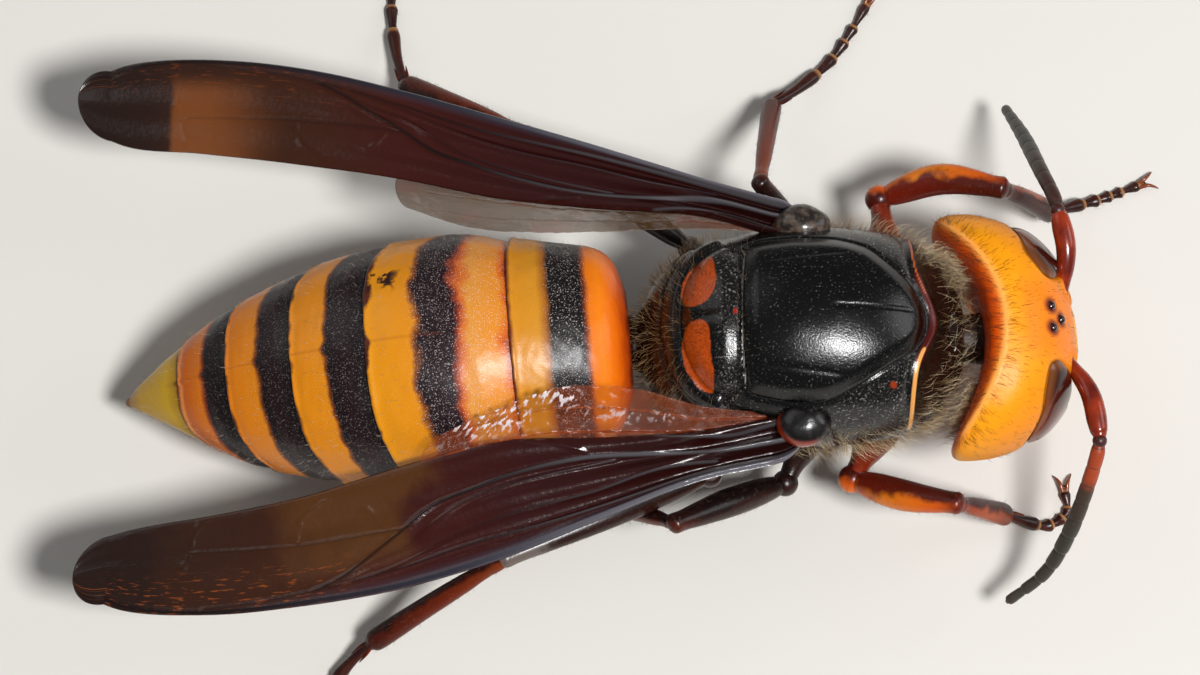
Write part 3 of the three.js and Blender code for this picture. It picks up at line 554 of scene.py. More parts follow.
def buildHead():
    plan = headPlan
    shell = bentSkin(lambda u, v: fromHead(headPoint(-np.cos(np.pi * v), 2 * np.pi * u)), 230, 190)
    carve(shell, headDetail)
    points = bodyPoints(shell)
    own = toHead(points)
    mark(shell, "behind", ridgeLine(own) * smoothStep(own[:, 2], -1.5, 1.0))
    mark(shell, "crest", ridge(ridgeLine(own), 0.2) * smoothStep(own[:, 2], 1.6, 2.6))
    fromBeads = np.min([np.hypot(own[:, 1] - y, (own[:, 2] - z) * 1.2) for z, y in plan["ocelli"]], axis=0)
    front = own[:, 0] > 1.0
    mark(shell, "patch", np.where(front, ridge(fromBeads, 0.36), 0))
    frons = smoothStep(own[:, 0], 1.3, 2.1) * (1 - smoothStep(np.abs(own[:, 1]), 1.0, 2.2))
    mark(shell, "frons", frons * smoothStep(own[:, 2], 0.2, 1.6))
    seams = np.maximum(ridge(eyeEdge(own), 0.07) * (own[:, 0] > 0.3), ridge(shieldEdge(own), 0.07) * front)
    mark(shell, "seam", seams)
    makePiece("headShell", shell, orangeChitin(), ["head"])

    shieldOutline = mirroredOutline(shieldPlan["half"])
    shield = bentSkin(lensShape(shieldOutline, shieldPlan["middle"], 1, shieldPlan), 140, 90)
    makePiece("faceShield", shield, shieldChitin(), ["clypeus"])
    for side, sign in (("left", 1), ("right", -1)):
        marks = {"rim": lambda u, v: np.where(v < 0.5, smoothStep(np.sin(np.pi * v), 0.8, 0.97), 1)}
        lens = bentSkin(lensShape(eyePlan[side], eyePlan["middle"], sign, eyePlan), 150, 110, marks)
        mark(lens, "reach", np.abs(toHead(bodyPoints(lens))[:, 1]))
        makePiece(f"eye_{side}_lens", lens, eyeLens(), [f"eye_{side}"])
    beads = []
    for z, y in plan["ocelli"]:
        beads.append(bentSkin(beadShape(spotOnFace(y, z, -0.06), (0.23, 0.23, 0.23)), 32, 24))
    # single clear lenses over dark maroon
    makePiece("simpleEyes", joined(beads), plainFinish("simple eye", "#2A0A08", 0.08, 0.8))
    print("head")
    return shell


mouthPlan = {
    "jaw": ((2.2, 2.6, -3.3), (2.65, 2.4, -4.3), (2.9, 1.55, -5.05), (3.0, 0.45, -5.3)),
    "jawRadii": ((0, 0.75), (0.25, 0.85), (0.55, 0.72), (0.85, 0.46), (1, 0.28)),
    # reach from the midline, height and length of each tooth
    "teeth": ((1.75, -4.8, 0.75), (1.2, -4.95, 0.7), (0.7, -5.05, 0.55)),
    "toothRadii": ((0, 0.34), (0.5, 0.25), (1, 0.07)),
    "tongue": ((1.2, 0, -2.9), (1.5, 0, -4.3), (1.7, 0, -5.2)),
    "tongueRadii": ((0, 1.0), (0.6, 0.85), (1, 0.5)),
    # reach and length of the outer and the inner palps
    "palps": ((0.75, 1.0), (0.4, 0.7)),
    "palpRadii": ((0, 0.16), (0.5, 0.14), (1, 0.1)),
}


def buildMouth():
    plan = mouthPlan
    for side, sign in (("left", 1), ("right", -1)):
        path = fromHead(np.array([(x, sign * y, z) for x, y, z in plan["jaw"]]))
        parts = [bentSkin(limbShape(path, plan["jawRadii"], flat=0.72), 64, 90)]
        for reach, height, long in plan["teeth"]:
            root = fromHead(np.array([2.9, sign * reach, height]))
            tip = fromHead(np.array([3.0, sign * (reach - 0.35), height + long]))
            parts.append(bentSkin(limbShape([root, (root + tip) / 2, tip], plan["toothRadii"]), 24, 20))
        mesh = joined(parts)
        own = toHead(bodyPoints(mesh))
        reach = np.abs(own[:, 1])
        toothed = smoothStep(own[:, 2], -4.9, -4.6) * (1 - smoothStep(reach, 1.65, 2.05))
        mark(mesh, "teeth", np.maximum(toothed, 1 - smoothStep(reach, 0.6, 1.3)))
        makePiece(f"mandible_{side}_jaw", mesh, jawChitin(), [f"mandible_{side}"])
    parts = [bentSkin(limbShape(fromHead(np.array(plan["tongue"])), plan["tongueRadii"], flat=0.8), 48, 50)]
    for sign in (1, -1):
        for out, long in plan["palps"]:
            path = [(1.5, sign * out, -4.0), (2.0, sign * out * 1.3, -4.9),
                    (2.3, sign * out * 1.2, -4.9 - 0.6 * long)]
            parts.append(bentSkin(limbShape(fromHead(np.array(path)), plan["palpRadii"]), 16, 30))
    # thin red-brown cuticle
    finish = plainFinish("mouth cuticle", "#8A3A10", 0.4, 0.1)
    makePiece("tongueAndPalps", joined(parts), finish, ["mouthparts"])
    print("mouth")


# Head finishes
def orangeChitin():
    # orange pigmented cuticle: satin, with a fine grain of hair pores
    material, add, shader = startFinish("orange cuticle", 0.42, 0.0, 0.26)
    spots = grain(add, 0.5, 3.0)
    behind = add("sum", add("mark", "behind"), add("product", add("difference", spots, 0.5), 0.5))
    shares = add("edge", behind, -3.2, 2.6)
    base = add("ramp", shares, [(0.0, "#E68604"), (0.3, "#F09806"), (0.5, "#F69A03"), (0.57, "#F98200"),
                                (0.65, "#F45E00"), (0.78, "#DC3E00"), (1.0, "#7A2003")])
    base = add("blend", add("product", add("mark", "frons"), 0.6), base, "#EC7404")
    # a painted highlight: the crown's crest is lightened towards pale yellow
    base = add("blend", add("product", add("mark", "crest"), 0.4), base, "#FFD070")
    tint = add("blend", add("edge", add("mark", "patch"), 0.08, 0.7), base, "#7A2406")
    tint = add("blend", add("product", add("mark", "seam"), 0.85), tint, "#5A1E06")
    fill(shader, {"Base Color": tint, "Subsurface Weight": 0.1, "Subsurface Scale": 0.4 * mm,
                  "Normal": pitted(add, 0.11, 0.012, 0.6)})
    return material


def shieldChitin():
    # the same cuticle over the face, paler
    material, add, shader = startFinish("face cuticle", 0.4, 0.1, 0.32)
    tint = add("ramp", grain(add, 0.6, 3.0), [(0.3, "#EA920A"), (0.7, "#F8A612")])
    fill(shader, {"Base Color": tint, "Normal": pitted(add, 0.14, 0.02, 0.6)})
    return material


def eyeLens():
    # thousands of tiny lenses read as a glossy dark brown with red mottling
    material, add, shader = startFinish("compound eye", 0.16, 0.2)
    tint = add("ramp", grain(add, 0.7, 4.0), [(0.35, "#1C0604"), (0.55, "#340C06"), (0.72, "#4E160A")])
    tint = add("blend", add("product", add("edge", add("mark", "reach"), 2.6, 4.4), 0.6), tint, "#6A220E")
    tint = add("blend", add("product", add("mark", "rim"), 0.4), tint, "#9A5A2E")
    facets = add("cells", add("place"), 1 / (0.06 * mm))
    fill(shader, {"Base Color": tint, "Normal": add("bump", facets, 0.35, 0.006 * mm, True)})
    return material


def jawChitin():
    # orange cuticle, hardened to black along the teeth
    material, add, shader = startFinish("mandible cuticle", 0.32, 0.25)
    spots = grain(add, 0.35, 3.0)
    share = add("sum", add("mark", "teeth"), add("product", spots, 0.3))
    tint = add("ramp", share, [(0.2, "#DC7E0C"), (0.55, "#A8460A"), (0.8, "#1C0C06")])
    fill(shader, {"Base Color": tint, "Normal": pitted(add, 0.15, 0.02, 0.5)})
    return material


# Thorax: one closed skin, its plates raised and parted by seams
thoraxPlan = {
    "stations": (  # along X, half width, highest point, lowest point
        (1.6, 1.2, 8.4, 6.0), (2.2, 2.3, 9.6, 5.2), (3.1, 3.3, 10.8, 4.6), (4.3, 3.95, 11.8, 4.0),
        (6.0, 4.3, 12.5, 3.5), (8.5, 4.55, 12.85, 3.3), (11.0, 4.5, 12.6, 3.6), (12.8, 4.15, 11.9, 4.2),
        (13.9, 3.5, 10.8, 5.0), (14.8, 2.3, 9.2, 6.2)),
    "scutum": ((5.9, 0), (6.0, 2.6), (6.6, 3.3), (9.2, 3.45), (10.9, 3.1), (11.95, 2.35), (13.1, 1.2),
               (13.65, 0.2), (13.35, -1.1), (11.6, -2.4), (9.3, -3.55), (6.6, -3.35), (6.1, -2.7)),
    "scutellum": ((3.3, 0), (3.55, 1.6), (4.3, 2.8), (5.3, 3.2), (5.75, 2.4), (5.75, 0)),
    "metanotum": ((2.45, 0), (2.75, 1.7), (3.6, 3.1), (4.9, 3.75), (5.2, 3.6), (5.2, 0)),
    "spots": (
        ((4.64, 2.71), (4.84, 1.85), (4.77, 1.0), (4.38, 0.49), (3.81, 0.36), (3.43, 0.66), (3.37, 1.34),
         (3.57, 1.95), (4.06, 2.47)),
        ((3.64, -0.32), (4.13, -0.15), (4.49, -0.39), (4.62, -1.03), (4.65, -1.71), (4.78, -2.56),
         (4.74, -3.05), (4.3, -3.0), (3.85, -2.6), (3.5, -1.96), (3.37, -1.29), (3.44, -0.7)),
    ),
    "tegulae": {"left": ((8.5, 4.35, 10.2), (1.2, 0.85, 0.8)),
                "right": ((8.5, -4.25, 10.3), (1.15, 1.0, 0.8))},
}


def thoraxShape(u, v):
    stations = thoraxPlan["stations"]
    cap = 0.05
    share = np.clip((v - cap) / (1 - 2 * cap), 0, 1)
    eased = 0.5 - 0.5 * np.cos(np.pi * share)
    x = 1.6 + 13.2 * (0.55 * share + 0.45 * eased)
    start = np.clip(v / cap, 0, 1) * np.pi / 2
    end = np.clip((1 - v) / cap, 0, 1) * np.pi / 2
    ring = np.sin(np.minimum(start, end))
    top, bottom = through(stations, x, 2), through(stations, x, 3)
    middle, tall = (top + bottom) / 2, (top - bottom) / 2
    x = x - 0.9 * np.cos(start) + 0.7 * np.cos(end)
    wide = through(stations, np.clip(x, 1.6, 14.8), 1)
    up = signedPower(np.cos(2 * np.pi * u), 0.92)
    side = signedPower(np.sin(2 * np.pi * u), 0.92)
    return np.stack([x, side * wide * ring, middle + up * tall * ring], -1)


def collarLine(points):
    # millimetres ahead of the collar's rim, which bows forwards round the scutum
    return points[:, 0] - (13.1 + 0.85 * ridge(points[:, 1], 1.5) - 0.005 * points[:, 1] ** 2)


def spotEdge(points):
    # millimetres inside the scutellum's two spots
    return np.maximum(*(insideBy(points[:, :2], outlineOf(spot)) for spot in thoraxPlan["spots"]))


def thoraxDetail(points, normals):
    x, y, z = points.T
    flat = points[:, :2]
    top = smoothStep(z, 9.2, 10.0)
    scutum = insideBy(flat, outlineOf(thoraxPlan["scutum"]))
    shieldlet = insideBy(flat, mirroredOutline(thoraxPlan["scutellum"]))
    narrow = insideBy(flat, mirroredOutline(thoraxPlan["metanotum"]))
    detail = top * (0.2 * smoothStep(scutum, -0.05, 0.7) - 0.08 * ridge(scutum + 0.03, 0.06))
    detail += top * (0.24 * smoothStep(shieldlet, 0, 0.7) - 0.12 * ridge(shieldlet + 0.04, 0.1))
    notInScutellum = smoothStep(z, 8.8, 9.4) * (1 - smoothStep(shieldlet, -0.15, 0.05))
    detail += notInScutellum * (0.16 * smoothStep(narrow, 0, 0.3) - 0.1 * ridge(narrow, 0.1))
    # the cross seam ahead of the scutellum is crossed by short ribs
    seam = ridge(x - 5.86 - 0.02 * y ** 2, 0.08) * (np.abs(y) < 3.0) * top
    detail -= seam * (0.1 + 0.025 * np.sin(y * 2 * np.pi / 0.32))
    # middle furrows of the scutum and the scutellum
    detail -= 0.06 * ridge(y - 0.17, 0.05) * smoothStep(x, 9.4, 9.9) * (1 - smoothStep(x, 12.6, 13.1))
    detail -= 0.06 * ridge(y + 0.08, 0.16) * smoothStep(shieldlet, 0.1, 0.4) * (1 - smoothStep(x, 5.0, 5.3))
    # side furrows of the scutum
    for sign in (1, -1):
        bow = np.abs(y * sign - (2.35 + 0.12 * (x - 8.5)))
        detail -= 0.03 * ridge(bow, 0.09) * smoothStep(x, 6.6, 7.2) * (1 - smoothStep(x, 9.8, 10.6)) * top
    # collar: a sharp front rim, a hollow behind it, and the seam at the flank
    rim = collarLine(points)
    detail += smoothStep(z, 8.6, 9.4) * (0.14 * ridge(rim, 0.13) - 0.05 * ridge(rim + 0.3, 0.14))
    # ahead of the rim the collar sinks, then rises in a second, lower ridge over the neck
    detail += smoothStep(z, 7.6, 8.6) * (0.16 * ridge(rim - 1.15, 0.2) - 0.16 * ridge(rim - 0.6, 0.3))
    flank = 1 - smoothStep(z, 9.4, 10.2)
    frontSeam = x - (9.9 + 0.22 * (9.0 - z))
    detail -= flank * smoothStep(z, 4.8, 5.6) * 0.13 * ridge(frontSeam, 0.14)
    rearSeam = x - (3.5 + 0.25 * (z - 7))
    detail -= 0.13 * ridge(rearSeam, 0.16) * (1 - smoothStep(z, 9.6, 10.2))
    # the middle segment's flank is parted in an upper and a lower plate
    between = smoothStep(x, 4.2, 4.6) * (1 - smoothStep(x, 9.4, 9.8))
    detail -= 0.1 * ridge(z - (6.6 + 0.3 * np.sin((x - 6) * 0.9)), 0.14) * between
    detail += 0.1 * np.sin((x - 3.2) * 2.1) * between * flank * 0.5
    detail += 0.02 * ripple(points, 1.6, 5) * (1 - 0.6 * smoothStep(scutum, 0, 0.3) * top)
    return detail


def buildThorax():
    shell = bentSkin(thoraxShape, 400, 240)
    carve(shell, thoraxDetail)
    points = bodyPoints(shell)
    x, y, z = points.T
    flat = points[:, :2]
    top = smoothStep(z, 8.9, 9.6)
    scutum = insideBy(flat, outlineOf(thoraxPlan["scutum"]))
    spots = spotEdge(points)
    mark(shell, "spot", np.where(top > 0.5, spots, -1))
    mark(shell, "midSpot", (1 - np.hypot((x - 5.62) / 0.14, (y - 0.05) / 0.2)) * top)
    mark(shell, "paleSeam", ridge(x - 5.9 - 0.02 * y ** 2, 0.05) * (np.abs(y) < 2.9) * top)
    rim = collarLine(points)
    wide = np.where(y > 0, 0.06, 0.11)
    mark(shell, "rim", ridge(rim, wide) * smoothStep(z, 7.8, 8.6) * smoothStep(np.abs(y + 0.1), 0.9, 1.3))
    mark(shell, "rightRim", y < 0)
    mark(shell, "maroon", ridge(rim, 0.24) * smoothStep(z, 8.6, 9.6) * (1 - smoothStep(np.abs(y), 1.6, 2.6)))
    lobe = smoothStep(-rim, 0.1, 0.4) * (1 - smoothStep(scutum, -0.25, 0.0)) * top * (x > 9)
    mark(shell, "sheen", np.maximum(lobe, smoothStep(x, 4.6, 5.0) * (1 - smoothStep(x, 5.75, 5.9)) * top))
    brown = np.maximum(smoothStep(rim, 0.1, 0.5), 1 - smoothStep(x - 0.25 * (z - 7), 3.0, 3.8))
    mark(shell, "brown", np.clip(brown, 0, 1) * (1 - top * (spots > -0.3)))
    mark(shell, "dot", (1 - np.hypot((x - 12.2) / 0.22, (y + 2.85) / 0.2)) * top)
    makePiece("thoraxShell", shell, blackChitin(),
              ["pronotum", "mesoscutum", "scutellum", "metanotum", "propodeum", "mesothorax"])
    throat = [(13.6, 0, 7.6), (15.0, 0.05, 7.5), (17.2, 0.15, 7.3)]
    neck = bentSkin(limbShape(throat, ((0, 1.3), (0.5, 1.05), (1, 1.25))), 60, 40)
    makePiece("neckTube", neck, neckChitin(), ["neck"])
    for side in ("left", "right"):
        centre, radius = np.array(thoraxPlan["tegulae"][side])
        scale = bentSkin(beadShape(centre, radius), 70, 50)
        carve(scale, lambda points, normals: 0.03 * ripple(points, 0.8, 11))
        own = (bodyPoints(scale) - centre) / radius
        rim = smoothStep(np.hypot(own[:, 0], own[:, 1]), 0.82, 0.98)
        mark(scale, "rim", rim * smoothStep(-own[:, 0] - own[:, 1], 0.0, 0.9))
        makePiece(f"tegula_{side}_scale", scale, scaleChitin(side), [f"tegula_{side}"])
    print("thorax")
    return shell


def blackChitin():
    # black cuticle, closely pitted, so its highlight breaks into silvery grains; more pale grains are painted
    # into its colour as glints
    material, add, shader = startFinish("black cuticle", 0.22, 0.0, 0.36)
    speckle = grain(add, 0.1, 2.0)
    # the pale grains of this ramp are painted glints
    base = add("ramp", speckle, [(0.5, "#030303"), (0.62, "#060505"), (0.72, "#4A4644")])
    # painted sheen over fine grey down: lighter grey grains on the collar's side lobes and the band before
    # the scutellum
    base = add("blend", add("product", add("mark", "sheen"), 0.7), base,
               add("ramp", speckle, [(0.42, "#080808"), (0.6, "#2E2B29"), (0.72, "#8A857F")]))
    base = add("blend", add("product", add("mark", "brown"), 0.8), base, "#1E0E07")
    uneven = add("difference", grain(add, 0.5, 3.0), 0.5)
    wavy = add("sum", add("mark", "spot"), add("product", uneven, 0.16))
    base = add("blend", add("edge", wavy, 0.0, 0.09), base,
               add("ramp", speckle, [(0.3, "#8A3203"), (0.7, "#BA4A06")]))
    for label, low, high, code in (("paleSeam", 0.4, 1.0, "#8A847C"), ("midSpot", 0.1, 0.5, "#8A1E08"),
                                   ("dot", 0.1, 0.6, "#8A2E0A"), ("maroon", 0.3, 0.9, "#4A120E")):
        base = add("blend", add("edge", add("mark", label), low, high), base, code)
    # the collar's rim is painted paler on the lit right side and darker on the shaded left side
    rimLightAndShade = add("blend", add("mark", "rightRim"), "#A8502A", "#DC9A50")
    base = add("blend", add("edge", add("mark", "rim"), 0.35, 0.75), base, rimLightAndShade)
    fill(shader, {"Base Color": base, "Normal": pitted(add, 0.08, 0.014, 0.75)})
    return material


def neckChitin():
    # dark brown cuticle under the collar
    material, add, shader = startFinish("neck cuticle", 0.5)
    fill(shader, {"Base Color": "#2A1409", "Normal": pitted(add, 0.2, 0.03, 0.5)})
    return material


def scaleChitin(side):
    # the wing's hinge scale: black, thin and red-orange at its rim; the left one is painted grey-brown with a
    # pale mottle for the glints on it
    material, add, shader = startFinish(f"hinge scale cuticle {side}", 0.28, 0.2)
    # the left scale's grey-brown mottle is painted glint
    middle = ("#1E1815", "#5E5046") if side == "left" else ("#060505", "#1E1A19")
    base = add("ramp", grain(add, 0.3, 3.0), [(0.4, middle[0]), (0.7, middle[1])])
    base = add("blend", add("mark", "rim"), base, "#4A2A1C" if side == "left" else "#8A280A")
    fill(shader, {"Base Color": base, "Normal": pitted(add, 0.13, 0.02, 0.5)})
    return material


# Gaster: six rings that slide into one another
gasterPlan = {
    "joint": (1.25, 0, 7.2), "yaw": math.radians(4.5), "length": 21.7, "sink": 4.2, "sinkPower": 2.2,
    "sweepLeft": 1.2, "sweepRight": 0.8,
    "seams": (0, 0.2195, 0.477, 0.62, 0.751, 0.858, 1),
    # one value for each ring: how unevenly its bands end and in spots of what size, how far the dark band's
    # notch runs back, how grey its down and the painted glints of the down are, how many bristles it has, and
    # its slot
    "waver": (0.06, 0.3, 0.14, 0.14, 0.14, 0.14), "waverSize": (0.9, 1.8, 0.9, 0.9, 0.9, 0.9),
    "notch": (0, 0, 0.05, 0.05, 0.05, 0.05), "downAndGlints": (0.55, 0.5, 0.14, 0.1, 0.08, 0.02),
    "bristles": (260, 380, 320, 300, 280, 200), "slots": ("gaster_banded",) * 5 + ("gaster_tip",),
    "stations": (  # along the axis, half width, height over it, depth under it
        (0, 2.2, 1.8, 1.4), (0.02, 3.45, 2.8, 2.0), (0.05, 4.1, 3.4, 2.5), (0.12, 4.45, 3.85, 2.9),
        (0.24, 4.9, 4.3, 3.4), (0.35, 5.25, 4.55, 3.7), (0.47, 5.2, 4.45, 3.7), (0.62, 4.75, 3.8, 3.25),
        (0.78, 3.6, 2.8, 2.4), (0.87, 2.5, 2.0, 1.8), (0.95, 1.2, 1.05, 1.0), (1, 0.3, 0.25, 0.25)),
}
# each band runs from the ring's front edge at 0 to its rear edge at 1
bandColours = (
    [(0.0, "#5A1204"), (0.04, "#CC4A03"), (0.12, "#E06402"), (0.25, "#E67A04"), (0.33, "#DE7004"),
     (0.37, "#6A280A"), (0.4, "#0A0607"), (0.66, "#0E0809"), (0.7, "#9A5A18"), (0.76, "#C8861E"),
     (0.97, "#CC8418"), (1.0, "#6A2A0A")],
    [(0.0, "#8A2A08"), (0.04, "#D06008"), (0.09, "#D88420"), (0.28, "#D48C34"), (0.34, "#C45E20"),
     (0.37, "#8A3418"), (0.41, "#1C0810"), (0.62, "#1A080E"), (0.66, "#7A3E0E"), (0.7, "#D48408"),
     (0.97, "#D88A06"), (1.0, "#4A1A08")],
    [(0.0, "#0C0506"), (0.3, "#1C080C"), (0.48, "#12070A"), (0.52, "#6A300A"), (0.56, "#D28006"),
     (0.96, "#D48006"), (1.0, "#3A1408")],
    [(0.0, "#0C0506"), (0.3, "#1C080A"), (0.46, "#120708"), (0.5, "#6A300A"), (0.55, "#D07A08"),
     (0.96, "#CE7208"), (1.0, "#3A1408")],
    [(0.0, "#0C0506"), (0.42, "#160809"), (0.47, "#7A2C0A"), (0.54, "#C86A06"), (0.88, "#B85404"),
     (0.95, "#D08040"), (1.0, "#7A2008")],
    [(0.0, "#6A3408"), (0.05, "#A07808"), (0.2, "#BE940C"), (0.7, "#B0860E"), (0.92, "#8A5A12"),
     (1.0, "#4A2A10")],
)


def fromGaster(points):
    return turned(points, gasterPlan["yaw"]) + np.array(gasterPlan["joint"])


def toGaster(points):
    return turned(points - np.array(gasterPlan["joint"]), -gasterPlan["yaw"])


def gasterPoint(share, angle, scale):
    plan = gasterPlan
    stations = plan["stations"]
    held = np.clip(share, 0, 1)
    pitch = np.arctan(plan["sink"] * plan["sinkPower"] * held ** (plan["sinkPower"] - 1) / plan["length"])
    over = np.cos(angle) * scale
    lift = over * np.where(over > 0, through(stations, held, 2), through(stations, held, 3))
    across = np.sin(angle)
    reach = np.where(across > 0, plan["sweepLeft"], plan["sweepRight"]) * scale
    sweep = reach * np.abs(across) ** 5 * smoothStep(held, 0.15, 0.45)
    return fromGaster(np.stack([
        sweep - plan["length"] * share - lift * np.sin(pitch),
        np.sin(angle) * scale * through(stations, held, 1),
        -plan["sink"] * held ** plan["sinkPower"] + lift * np.cos(pitch),
    ], -1))


def ringProfile(index):
    # v along the skin, share along the gaster, scale of the section
    start, end = gasterPlan["seams"][index], gasterPlan["seams"][index + 1]
    span = end - start
    if index == 0:
        front = ((0.0, 0.0, 0.0), (0.1, 0.0, 1.0))
    else:
        front = ((0.0, start - 0.02, 0.0), (0.05, start - 0.02, 0.93), (0.1, start - 0.004, 0.972))
    if index == 5:
        return front + ((0.3, start + 0.3 * span, 1.0), (0.93, end, 1.0), (0.97, end + 0.004, 0.7),
                        (1.0, end + 0.006, 0.0))
    return front + ((0.3, start + 0.24 * span, 1.0), (0.6, start + 0.62 * span, 1.006),
                    (0.9, end - 0.003, 1.014), (0.93, end, 1.008), (0.95, end + 0.0005, 0.995),
                    (0.97, end - 0.004, 0.97), (1.0, end - 0.012, 0.0))


def ringShape(index):
    table = np.array(ringProfile(index))

    def shape(u, v):
        share = np.interp(v, table[:, 0], table[:, 1])
        scale = np.interp(v, table[:, 0], table[:, 2])
        return gasterPoint(share, 2 * np.pi * u, scale)

    return shape


def ringMarks(index):
    table = np.array(ringProfile(index))
    start, end = gasterPlan["seams"][index], gasterPlan["seams"][index + 1]
    return {
        "band": lambda u, v: (np.interp(v, table[:, 0], table[:, 1]) - start) / (end - start),
        "girth": lambda u, v: -np.cos(2 * np.pi * u),
        "across": lambda u, v: np.sin(2 * np.pi * u),
    }


def ringDetail(mesh, index):
    band, girth = (readAll(mesh.attributes[label].data, "value", 1)[:, 0] for label in ("band", "girth"))

    def detail(points, normals):
        bared = smoothStep(band, 0.0, 0.05)
        # each back plate folds round the flank and over the edge of the belly plate
        under = smoothStep(girth, 0.34, 0.4)
        fold = -0.1 * under * bared - 0.05 * ridge(girth - 0.42, 0.06) * bared
        waves = 0.018 * ripple(points, 1.3, 20 + index) + 0.008 * ripple(points, 0.5, 40 + index)
        rim = 0.025 * ridge(band - 0.985, 0.02)
        hollow = -0.02 * ridge(band - 0.93, 0.05)
        return fold + waves * bared + rim + hollow

    return detail


def buildGaster():
    rings = []
    for index in range(6):
        mesh = bentSkin(ringShape(index), 220, 110 if index in (0, 1) else 80, ringMarks(index))
        carve(mesh, ringDetail(mesh, index))
        name = f"gaster_{index + 1}"
        makePiece(name + "_ring", mesh, bandChitin(index), [name])
        rings.append(mesh)
    path = [(2.6, 0, 7.3), (1.4, 0, 7.2), (0.2, 0.05, 7.2)]
    waist = bentSkin(limbShape(path, ((0, 1.2), (0.4, 0.85), (1, 1.2))), 50, 40)
    makePiece("waist", waist, neckChitin())
    print("gaster")
    return rings


def bandChitin(index):
    # cuticle with pigment bands; fine down and its painted glints make the dark bands grey
    plan = gasterPlan
    material, add, shader = startFinish(f"banded cuticle {index + 1}", 0.34, 0.0, 0.3)
    spread = add("difference", grain(add, plan["waverSize"][index], 4.0), 0.5)
    band = add("sum", add("mark", "band"), add("product", spread, plan["waver"][index]))
    # on the midline the dark band runs back in a small notch
    middle = add("edge", add("absolute", add("mark", "across")), 0.09, 0.0)
    band = add("difference", band, add("product", middle, plan["notch"][index]))
    back = add("ramp", band, bandColours[index])
    if 0 < index < 5:
        # and a faint brown line goes on over the orange
        line = add("edge", add("absolute", add("mark", "across")), 0.02, 0.004)
        line = add("product", line, add("edge", band, 0.5, 0.55))
        back = add("blend", add("product", line, 0.2), back, "#7A2E08")
    if index == 1:
        # dark cracked scars in the orange, left of the middle
        off = add("absolute", add("difference", add("mark", "across"), 0.52))
        spot = add("product", add("edge", off, 0.14, 0.04), add("edge", band, 0.76, 0.84))
        cracks = add("edge", grain(add, 0.6, 3.0), 0.5, 0.56)
        back = add("blend", add("product", spot, cracks), back, "#2A0E08")
    belly = add("ramp", band, [(0.0, "#1A0E0A"), (0.6, "#24130C"), (0.75, "#B8600E"), (1.0, "#E0800F")])
    if index == 5:
        belly = add("ramp", band, [(0.0, "#8A4A10"), (0.2, "#E8A020"), (1.0, "#9A5A18")])
    base = add("blend", add("edge", add("mark", "girth"), 0.36, 0.4), back, belly)
    # pale specks for the down and painted glints on it, densest on the front half of the first two rings
    speckle = add("edge", grain(add, 0.06, 1.0), 0.58, 0.72)
    ahead = add("product", add("edge", band, 0.74, 0.64), plan["downAndGlints"][index])
    if index == 0:
        ahead = add("product", ahead, add("edge", band, 0.3, 0.4))
    downAndGlints = add("sum", ahead, 0.06)
    base = add("blend", add("product", speckle, downAndGlints), base, "#D0C4C0")
    fill(shader, {"Base Color": base, "Normal": pitted(add, 0.08, 0.013, 0.55)})
    return material


